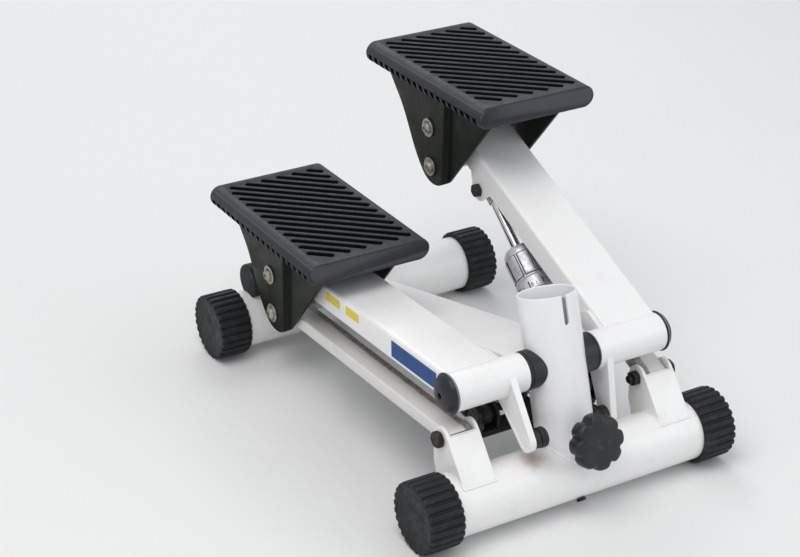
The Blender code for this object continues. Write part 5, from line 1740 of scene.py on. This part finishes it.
@dataclass
class Carrier(Sided):
    """Bent plate carrier under a foot plate, with its through bolts."""

    middle: float = 88.4
    half: float = 48.4
    step: float = 6.0
    sheet: float = 3.0
    top: float = 44.0
    panel_rear: float = 11.5
    rear_lean: float = 0.2
    panel_front: float = -28.8
    front_lean: float = -0.03
    fade_low: float = -46.0
    fade_high: float = 10.0
    bend: float = 2.4

    def offset(self, y: float, z: float) -> float:
        """How far the plate stands in from its raised panel; the rear step fades out towards the tip.

        Args:
            y: Distance behind the upper bolt.
            z: Height over it.

        Returns:
            The step in, from 0 on the panel.
        """
        fade = self.ease((z - self.fade_low) / (self.fade_high - self.fade_low))
        rear = y - (self.panel_rear + z * self.rear_lean)
        front = (self.panel_front + z * self.front_lean) - y
        rear, front = (self.ease((away + self.bend * 0.35) / (self.bend * 1.25)) for away in (rear, front))
        return self.step * max(rear * fade, front)

    @staticmethod
    def ease(share: float) -> float:
        """Smooth rise from 0 to 1."""
        t = min(1.0, max(0.0, share))
        return t * t * (3 - 2 * t)

    def plate(self, hand: int, ball: Vector) -> Piece:
        """One side plate with its raised panel and rounded bends.

        Args:
            hand: Sign of the side of the carrier.
            ball: Upper bolt.

        Returns:
            The plate.
        """
        centre = self.side.sign * self.middle
        fine = [-2.5 + 0.4 * i for i in range(14)]
        before = [-120.0, -100.0, -80.0, -60.0, -45.0, -36.0]
        between = [0.1, 0.3, 0.5, 0.7, 0.9]
        behind = [6.0, 12.0, 24.0, 40.0, 60.0, 85.0]
        rows = [-68.0, -58.0, -50.0] + [-45.0 + 5.0 * i for i in range(12)] + [18.0, 27.0, 36.0, 43.6]
        mesh = bmesh.new()
        sheets = []
        for thick in (0.0, self.sheet):
            grid = []
            for z in rows:
                first, last = self.panel_front + z * self.front_lean, self.panel_rear + z * self.rear_lean
                start, end = first - fine[0], last + fine[0]
                columns = before + [first - d for d in reversed(fine)]
                columns += [start + (end - start) * u for u in between]
                columns += [last + d for d in fine + behind]
                line = []
                for y in columns:
                    x = centre + hand * (self.half - self.offset(y, z) - thick)
                    line.append(mesh.verts.new((x, ball.y + y, ball.z + z)))
                grid.append(line)
            sheets.append(grid)
        for grid in sheets:
            for low, high in zip(grid, grid[1:]):
                for j in range(len(low) - 1):
                    mesh.faces.new((low[j], low[j + 1], high[j + 1], high[j]))
        outer, inner = sheets
        edges = [([row[end] for row in outer], [row[end] for row in inner]) for end in (0, -1)]
        edges += [(outer[end], inner[end]) for end in (0, -1)]
        for one, two in edges:
            for i in range(len(one) - 1):
                mesh.faces.new((one[i], one[i + 1], two[i + 1], two[i]))
        plate = Bench.finish(mesh)
        shape = Outline.hull([((-10.0, -29.5), 31.0), ((88.0, 38.0), 6.0), ((-99.0, 38.0), 6.0)], 120)
        outline = [(ball.y + a, ball.z + b) for a, b in shape]
        x0, x1 = centre + hand * (self.half - self.step - self.sheet - 8), centre + hand * (self.half + 8)
        Bench.combine(plate, Bench.pressed(outline, x0, x1), "INTERSECT")
        return Bench.soften(plate, 0.7, 3, 55.0)

    def build(self) -> None:
        """Makes the carrier and its two through bolts."""
        ball = PINS.ball(self.side)
        centre = self.side.sign * self.middle
        plates = [self.plate(hand, ball) for hand in (-1, 1)]
        inside = self.half - self.step - 1.0
        low, high, front, rear = centre - inside, centre + inside, ball.y - 102.0, ball.y + 91.0
        shape = [(low, front), (high, front), (high, rear), (low, rear)]
        roof = Bench.soften(Bench.slab(shape, ball.z + self.top - self.sheet, ball.z + self.top - 0.1), 0.6)
        self.dress(Bench.join(plates + [roof]), "carrier_skin", FINISH.black, "pedal", 35.0)
        lower = PINS.along(self.side, LowerBar.reach, 0.0, PINS.bar)
        near, far = (LowerBar.middle - self.middle + reach for reach in (-13.6, 13.6))
        self.bolt("upper_bolt_skin", Vector((centre, ball.y, ball.z)), ((-45.1, -30.3), (30.3, 45.1)))
        self.bolt("lower_bolt_skin", Vector((centre, *lower)), ((-45.1, near), (far, 45.1)))

    def bolt(self, name: str, centre: Vector, spans: Sequence[tuple[float, float]]) -> None:
        """Through bolt with domed heads, washers and spacer tubes.

        Args:
            name: Which bolt.
            centre: Its middle.
            spans: Where its spacer tubes run.
        """
        out, face = self.out, self.half + 0.25
        parts = [Bench.bar(centre - out * face, centre + out * face, 5.0, 0.3, 40)]
        for start, end in spans:
            parts.append(Bench.pipe(centre + out * start, centre + out * end, 8.0, 5.0, 0.4, 48))
        for sign in (-1, 1):
            parts.append(Fastener(6.5, 5.6).button(centre + out * sign * face, out * sign))
        self.dress(Bench.join(parts), name, FINISH.zinc, "pedal", 35.0)


# dampers


@dataclass
class Damper(Sided):
    """Oil damper: cylinder, marked collar, turning dial and chromed rod."""

    body_radius: float = 14.0
    collar_radius: float = 19.2
    dial_radius: float = 18.6
    dial_tip: float = 12.0
    dial_shoulder: float = 9.0
    rod_radius: float = 5.0
    body_end: float = 106.0
    collar_end: float = 120.5
    dial_end: float = 159.5
    eye_radius: float = 10.0
    eye_width: float = 13.0
    eye_bore: float = 5.9
    figure_size: float = 6.6

    def line(self) -> tuple[Vector, Vector, float]:
        """Foot, direction and eye-to-eye length at rest.

        Returns:
            The three values.
        """
        foot = PINS.places[self.name("damper_foot")]
        run = PINS.ways[self.name("damper_stroke")].normalized()
        y, z = PINS.along(self.side, Arm.damper_along, Arm.damper_height)
        length = math.hypot(y - foot.y, z - foot.z) / math.hypot(run.y, run.z)
        return foot, run, length

    def build(self) -> None:
        """Makes the damper's three bodies."""
        self.build_cylinder()
        self.build_dial()
        self.build_rod()

    def eye(self, centre: Vector, bore: float) -> Piece:
        """Eye with a bore and eased rims.

        Args:
            centre: Middle of the eye.
            bore: Radius of its hole.

        Returns:
            The eye.
        """
        w, r = self.eye_width / 2, self.eye_radius
        corners = [(-w, bore, 0.3), (-w, r - 2.6, 0.6), (-w * 0.55, r - 0.5, 3.0), (0.0, r, 6.0),
                   (w * 0.55, r - 0.5, 3.0), (w, r - 2.6, 0.6), (w, bore, 0.3)]
        return Bench.turned(centre, X_AXIS, corners, 0.5, 56, ring=True)

    def build_cylinder(self) -> None:
        """Black cylinder with its foot eye and the marked collar."""
        foot, run, _ = self.line()
        r, bore = self.body_radius, self.rod_radius + 0.6
        corners = [(7.0, 0.0, 0.0), (7.0, 6.6, 0.4), (13.6, 6.6, 0.4), (13.6, r - 1.6, 0.8), (15.6, r, 0.8),
                   (17.5, r, 0.1), (18.0, r - 0.5, 0.2), (19.0, r - 0.5, 0.2), (19.5, r, 0.2),
                   (self.body_end - 3.0, r, 0.3), (self.body_end - 2.5, r - 0.8, 0.3),
                   (self.body_end - 0.1, r - 0.8, 0.2), (self.body_end - 0.1, 0.0, 0.0)]
        cylinder = Bench.join([Bench.turned(foot, run, corners, 0.4, 80), self.eye(foot, 5.3)])
        self.dress(cylinder, "damper_body_skin", FINISH.grease, "cylinder")
        c = self.collar_radius
        corners = [(self.body_end, bore, 0.2), (self.body_end, c - 0.5, 0.5), (self.body_end + 1.2, c, 0.4),
                   (self.collar_end - 1.3, c, 0.4), (self.collar_end - 0.9, c - 0.5, 0.2),
                   (self.collar_end, c - 0.6, 0.4), (self.collar_end, bore, 0.2)]
        collar = Bench.turned(foot, run, corners, 0.3, 96, ring=True)
        self.dress(collar, "damper_collar", FINISH.satin, "cylinder", node=self.name("damper_body"))
        self.build_marks()

    def build_marks(self) -> None:
        """Dial figures and tick bars on the collar."""
        foot, run, _ = self.line()
        side, up = Bench.across(run)
        r = self.collar_radius

        def onto(along: float, arc: float, lift: float) -> Vector:
            """Place on the collar.

            Args:
                along: Distance from the foot.
                arc: Distance round.
                lift: Height over the surface.

            Returns:
                The point.
            """
            t = arc / r
            return foot + run * along + (r + lift) * (math.cos(t) * side + math.sin(t) * up)

        mesh = bmesh.new()
        ticks = 16
        for i in range(ticks):
            middle = 2 * math.pi * r * i / ticks
            wide, low, high = (0.40, 2.4, 6.2) if i % 2 else (0.65, 2.2, 9.0)
            if not i % 2:
                self.figure(mesh, str(1 + i // 2), onto, self.body_end + 2.8, middle + 1.5)
            corners = []
            for lift in (-0.2, 0.14):
                for arc in (middle - wide, middle + wide):
                    corners += [onto(self.body_end + end, arc, lift) for end in (low, high)]
            verts = [mesh.verts.new(p) for p in corners]
            for quad in ((0, 1, 3, 2), (4, 6, 7, 5), (0, 4, 5, 1), (2, 3, 7, 6), (0, 2, 6, 4), (1, 5, 7, 3)):
                mesh.faces.new([verts[k] for k in quad])
        self.dress(Bench.finish(mesh), "damper_marks", FINISH.marks, "cylinder")

    def figure(self, mesh: bmesh.types.BMesh, text: str, onto: Callable[[float, float, float], Vector],
               along: float, arc: float) -> None:
        """One numeral of the dial, bent round the collar.

        Args:
            mesh: Mesh that takes it.
            text: The numeral.
            onto: Function that bends a flat place onto the collar.
            along: Foot of the numeral.
            arc: Its start round the collar.
        """
        curve = bpy.data.curves.new("figure", "FONT")
        curve.body, curve.size, curve.resolution_u = text, self.figure_size, 3
        holder = Bench.put("figure", curve)
        graph = bpy.context.evaluated_depsgraph_get()
        flat = bpy.data.meshes.new_from_object(holder.evaluated_get(graph))
        made = [mesh.verts.new(onto(along + vert.co.y, arc + vert.co.x, 0.12)) for vert in flat.vertices]
        for face in flat.polygons:
            mesh.faces.new([made[k] for k in face.vertices])
        bpy.data.objects.remove(holder)
        bpy.data.curves.remove(curve)
        bpy.data.meshes.remove(flat)

    def build_dial(self) -> None:
        """Turning sleeve with eight raised panels."""
        foot, run, _ = self.line()
        side, up = Bench.across(run)
        start, end = self.collar_end + 0.4, self.dial_end
        shoulder = end - self.dial_shoulder
        fall = self.dial_radius - self.dial_tip
        count, panels, height = 192, 8, 1.15

        def lift(turn: float, along: float) -> float:
            """Height of the panels at a place.

            Args:
                turn: Angle in turns of one panel.
                along: Distance from the foot.

            Returns:
                The height.
            """
            part = turn % 1.0
            edge = min(part, 1 - part)
            across = min(1.0, max(0.0, (edge - 0.05) / 0.06))
            ends = min(1.0, max(0.0, min(along - start - 2.2, shoulder - 1.2 - along) / 1.2))
            both = across * ends
            return height * both * both * (3 - 2 * both)

        def drop(along: float) -> float:
            """How far the sleeve draws in near its ends.

            Args:
                along: Distance from the foot.

            Returns:
                The drop in radius.
            """
            if along > shoulder:
                return fall * (1 - math.sqrt(max(0.0, 1 - ((along - shoulder) / self.dial_shoulder) ** 2)))
            return 1.6 * max(0.0, 1 - (along - start) / 0.9) ** 2

        alongs = [start + a for a in (0.0, 0.2, 0.5, 0.9, 1.6, 2.2, 2.6, 3.0, 3.4)]
        alongs += [start + 3.4 + (shoulder - start - 7.0) * i / 8 for i in range(1, 9)]
        alongs += [shoulder - a for a in (2.4, 2.0, 1.6, 1.2, 0.6)]
        alongs += [shoulder + self.dial_shoulder * math.sin(math.radians(10 * i)) for i in range(10)]
        rings = []
        for along in alongs:
            ring = []
            for i in range(count):
                t = 2 * math.pi * i / count
                r = self.dial_radius - height + lift(panels * i / count, along) - drop(along)
                ring.append(foot + run * along + r * (math.cos(t) * side + math.sin(t) * up))
            rings.append(ring)
        for along, r in ((end - 0.6, 9.0), (end - 1.2, 7.0), (end - 4.0, self.rod_radius + 0.6),
                         (start + 3.0, self.rod_radius + 0.6), (start, self.rod_radius + 0.7)):
            rings.append(Bench.circle(foot + run * along, run, r, count))
        dial = Bench.stack(rings, closed=True)

        def groove(place: Vector) -> bool:
            """Whether a face lies on a panel's dark outline.

            Args:
                place: Middle of the face.

            Returns:
                True on the outline.
            """
            along = (place - foot).dot(run)
            radius = (place - foot - run * along).length
            rise = radius - self.dial_radius + height
            return start + 1.9 < along < shoulder - 0.9 and 0.04 < rise < height * 0.80

        tint(dial, (FINISH.satin, FINISH.seam), groove)
        self.dress(dial, "dial_skin", FINISH.satin, "dial", 50.0)

    def build_rod(self) -> None:
        """Chromed rod with its upper eye and a pale buffer."""
        foot, run, length = self.line()
        head = foot + run * length
        rod = Bench.bar(foot + run * (length - 172.0), head - run * (self.eye_radius - 2.0), self.rod_radius,
                        0.6, 48)
        rod = Bench.join([rod, self.eye(head, self.eye_bore)])
        self.dress(rod, "damper_rod_skin", FINISH.chrome, "rod")
        buffer = Bench.pipe(head - run * (self.eye_radius + 8.6), head - run * (self.eye_radius - 0.6), 6.4,
                            self.rod_radius + 0.05, 0.6, 48)
        self.dress(buffer, "damper_buffer", FINISH.buffer, "rod")


# rocker


@dataclass
class Rocker:
    """Rocker, its two ball studs and the links to the levers."""

    ball: float = 4.8
    height: float = 84.0
    link_start: float = 47.7
    link_end: float = 26.7

    def ball_place(self, side: Side) -> Vector:
        """Centre of one ball at rest."""
        return Vector((*centre_of(side.word + "_stud").xy, self.height))

    def build(self) -> None:
        """Makes the rocker, both studs and both links."""
        z0, z1 = (corner.z for corner in box("rocker"))
        pin = PINS.places["rocker_pivot"]
        discs = [((0.0, pin.y), 12.0)] + [(tuple(self.ball_place(side).xy), 7.5) for side in Side]
        rocker = Bench.slab(Outline.hull(discs, 72), z0, z1)
        Bench.drill(rocker, Vector((0.0, pin.y, 50.0)), Vector((0.0, pin.y, 95.0)), 5.3, 40)
        dress(Bench.soften(rocker, 0.9, 3, 40.0), "rocker_skin", FINISH.grease, "rocker")
        for side in Side:
            self.stud(side, z0, z1)
            self.link(side)

    def stud(self, side: Side, z0: float, z1: float) -> None:
        """Ball stud with a hexagon collar.

        Args:
            side: Which stud.
            z0: Underside of the rocker.
            z1: Its top.
        """
        spot = self.ball_place(side)
        foot = Vector((spot.x, spot.y, 0.0))
        corners = [(z0 + 0.5, 0.0), (z0 + 0.5, 3.0), (z1 + 2.3, 3.0)]
        for i in range(1, 16):
            t = math.radians(-50 + 140 * i / 16)
            corners.append((self.height + self.ball * math.sin(t), self.ball * math.cos(t)))
        corners.append((self.height + self.ball, 0.0))
        ball = Bench.turned(foot, Z_AXIS, corners, 0.0, 40)
        collar = Fastener(5.6, 2.0).hexagon(Vector((spot.x, spot.y, z1 + 0.3)), Z_AXIS)
        dress(Bench.join([ball, collar]), side.word + "_stud_skin", FINISH.zinc, "rocker")

    def link(self, side: Side) -> None:
        """Bent link rod with an eye at each end and a lock nut.

        Args:
            side: Which link.
        """
        tip = PINS.places[side.word + "_link_pivot"]
        near = Vector((side.sign * self.link_start + Arm.lever_shift, tip.y, tip.z))
        ball = self.ball_place(side)
        far = Vector((side.sign * self.link_end, ball.y, self.height))
        run = (Vector((near.x, far.y, far.z)) - near).normalized()
        knee = near + run * 15.0
        bend = near + run * 28.0
        bend.x = side.sign * min(40.0, abs(near.x) - 2.0)
        slant, last = (bend - knee).normalized(), (far - bend).normalized()
        parts = [Bench.pipe(near - X_AXIS * 3.5, near + X_AXIS * 3.5, 9.0, 4.9, 0.7, 56)]
        path = [near + run * 8.0, near + run * 12.0, knee - run * 1.2, knee + (run + slant) * 0.2,
                knee + slant * 1.6, bend - slant * 1.6, bend + (last - slant) * 0.2, bend + last * 1.6,
                bend + last * 20.0, far - last * 6.8]
        parts.append(Bench.bead(path, 3.2))
        parts.append(Fastener(5.4, 5.0).hexagon(far - last * 15.0, last))
        parts.append(Bench.pipe(far - Z_AXIS * 3.6, far + Z_AXIS * 3.6, 9.0, 6.4, 0.7, 56))
        dress(Bench.join(parts), side.word + "_link_skin", FINISH.grease, side.word + "_link")


# studio


@dataclass
class Studio:
    """Floor, light and the camera at the photograph's angle."""

    place: Place = (-953.0, -1472.8, 1039.9)
    right: Place = (0.85866242, -0.51250953, 0.00572961)
    up: Place = (0.22801145, 0.39197613, 0.89127184)
    back: Place = (-0.45903118, -0.76399522, 0.45343322)
    focal: float = 1951.435
    sensor: float = 36.0
    frame_width: float = 800.0

    def build(self) -> None:
        """Sets up everything round the object."""
        self.camera()
        self.floor()
        self.world()
        self.lamps()
        bpy.context.scene.view_settings.view_transform = "Standard"

    def camera(self) -> None:
        """Camera with the lens fitted to the photograph."""
        data = bpy.data.cameras.new("camera")
        data.sensor_width = self.sensor
        data.lens = self.focal * self.sensor / self.frame_width
        data.clip_start = 0.05
        data.clip_end = 50.0
        holder = Bench.put("camera", data)
        turn = Matrix((self.right, self.up, self.back)).transposed()
        holder.matrix_world = Matrix.Translation(Vector(self.place) * MM) @ turn.to_4x4()
        bpy.context.scene.camera = holder

    def floor(self) -> None:
        """Pale matt floor, a little uneven in tone."""
        mesh = bmesh.new()
        bmesh.ops.create_grid(mesh, x_segments=4, y_segments=4, size=6.0)
        floor = Bench.bake(mesh)
        floor.name = "floor"
        board = NodeBoard("floor_sheet")
        tone = board.ramp(board.noise(3.0, 3.0, 0.5), 0.3, 0.7, 0.0, 0.25)
        board.value("Base Color", board.mix(tone, (0.80, 0.80, 0.79), (0.78, 0.78, 0.775)))
        board.value("Roughness", 0.9)
        board.value("Specular IOR Level", 0.1)
        floor.data.materials.append(board.material)

    def world(self) -> None:
        """Even white surround."""
        world = bpy.data.worlds.new("surround")
        world.use_nodes = True
        bpy.context.scene.world = world
        tree = world.node_tree
        back, white = tree.nodes["Background"], tree.nodes.new("ShaderNodeBackground")
        for node, colour, strength in ((back, (0.93, 0.95, 1.0), 0.60), (white, (1.0, 1.0, 1.0), 1.0)):
            node.inputs["Color"].default_value = (*colour, 1.0)
            node.inputs["Strength"].default_value = strength
        path, blend = tree.nodes.new("ShaderNodeLightPath"), tree.nodes.new("ShaderNodeMixShader")
        for inlet, source in enumerate((path.outputs["Is Camera Ray"], back.outputs[0], white.outputs[0])):
            tree.links.new(source, blend.inputs[inlet])
        tree.links.new(blend.outputs[0], tree.nodes["World Output"].inputs["Surface"])

    def lamp(self, name: str, place: Place, aim: float, size: float, watts: float, colour: Place) -> None:
        """One soft area lamp.

        Args:
            name: Lamp name.
            place: Its place in metres.
            aim: Height in metres over the floor's middle that it faces.
            size: Side in metres.
            watts: Power.
            colour: Light colour.
        """
        data = bpy.data.lights.new(name, "AREA")
        data.size, data.energy, data.color = size, watts, colour
        holder = Bench.put(name, data)
        holder.location = place
        holder.rotation_euler = (Vector((0.0, 0.0, aim)) - Vector(place)).to_track_quat("-Z", "Y").to_euler()

    def lamps(self) -> None:
        """Key from above left, fill from the camera's side and a rim from behind."""
        self.lamp("key", (-0.9, -0.5, 2.3), 0.10, 1.6, 27.0, (1.0, 0.985, 0.96))
        self.lamp("fill", (1.9, -1.9, 1.4), 0.12, 1.8, 13.0, (0.94, 0.97, 1.0))
        self.lamp("rim", (0.6, 2.0, 1.7), 0.15, 1.4, 14.0, (1.0, 1.0, 1.0))


class Builder(Protocol):
    """Sub-assembly that makes its own pieces."""

    def build(self) -> None:
        """Makes them."""


def main() -> None:
    """Builds the machine from the floor up, then the studio."""
    logging.basicConfig(level=logging.INFO, format="%(message)s")
    builders: list[Builder] = [FloorTube("front"), FloorTube("rear"), Post(), Spine(), BaseFittings(),
                               Knob(), Rocker()]
    for side in Side:
        builders += [Clevis(side), Arm(side), LowerBar(side), Tread(side), Carrier(side), Damper(side)]
    for builder in builders:
        builder.build()
        LOG.info("built %s", type(builder).__name__)
    Studio().build()


if __name__ == "__main__":
    main()
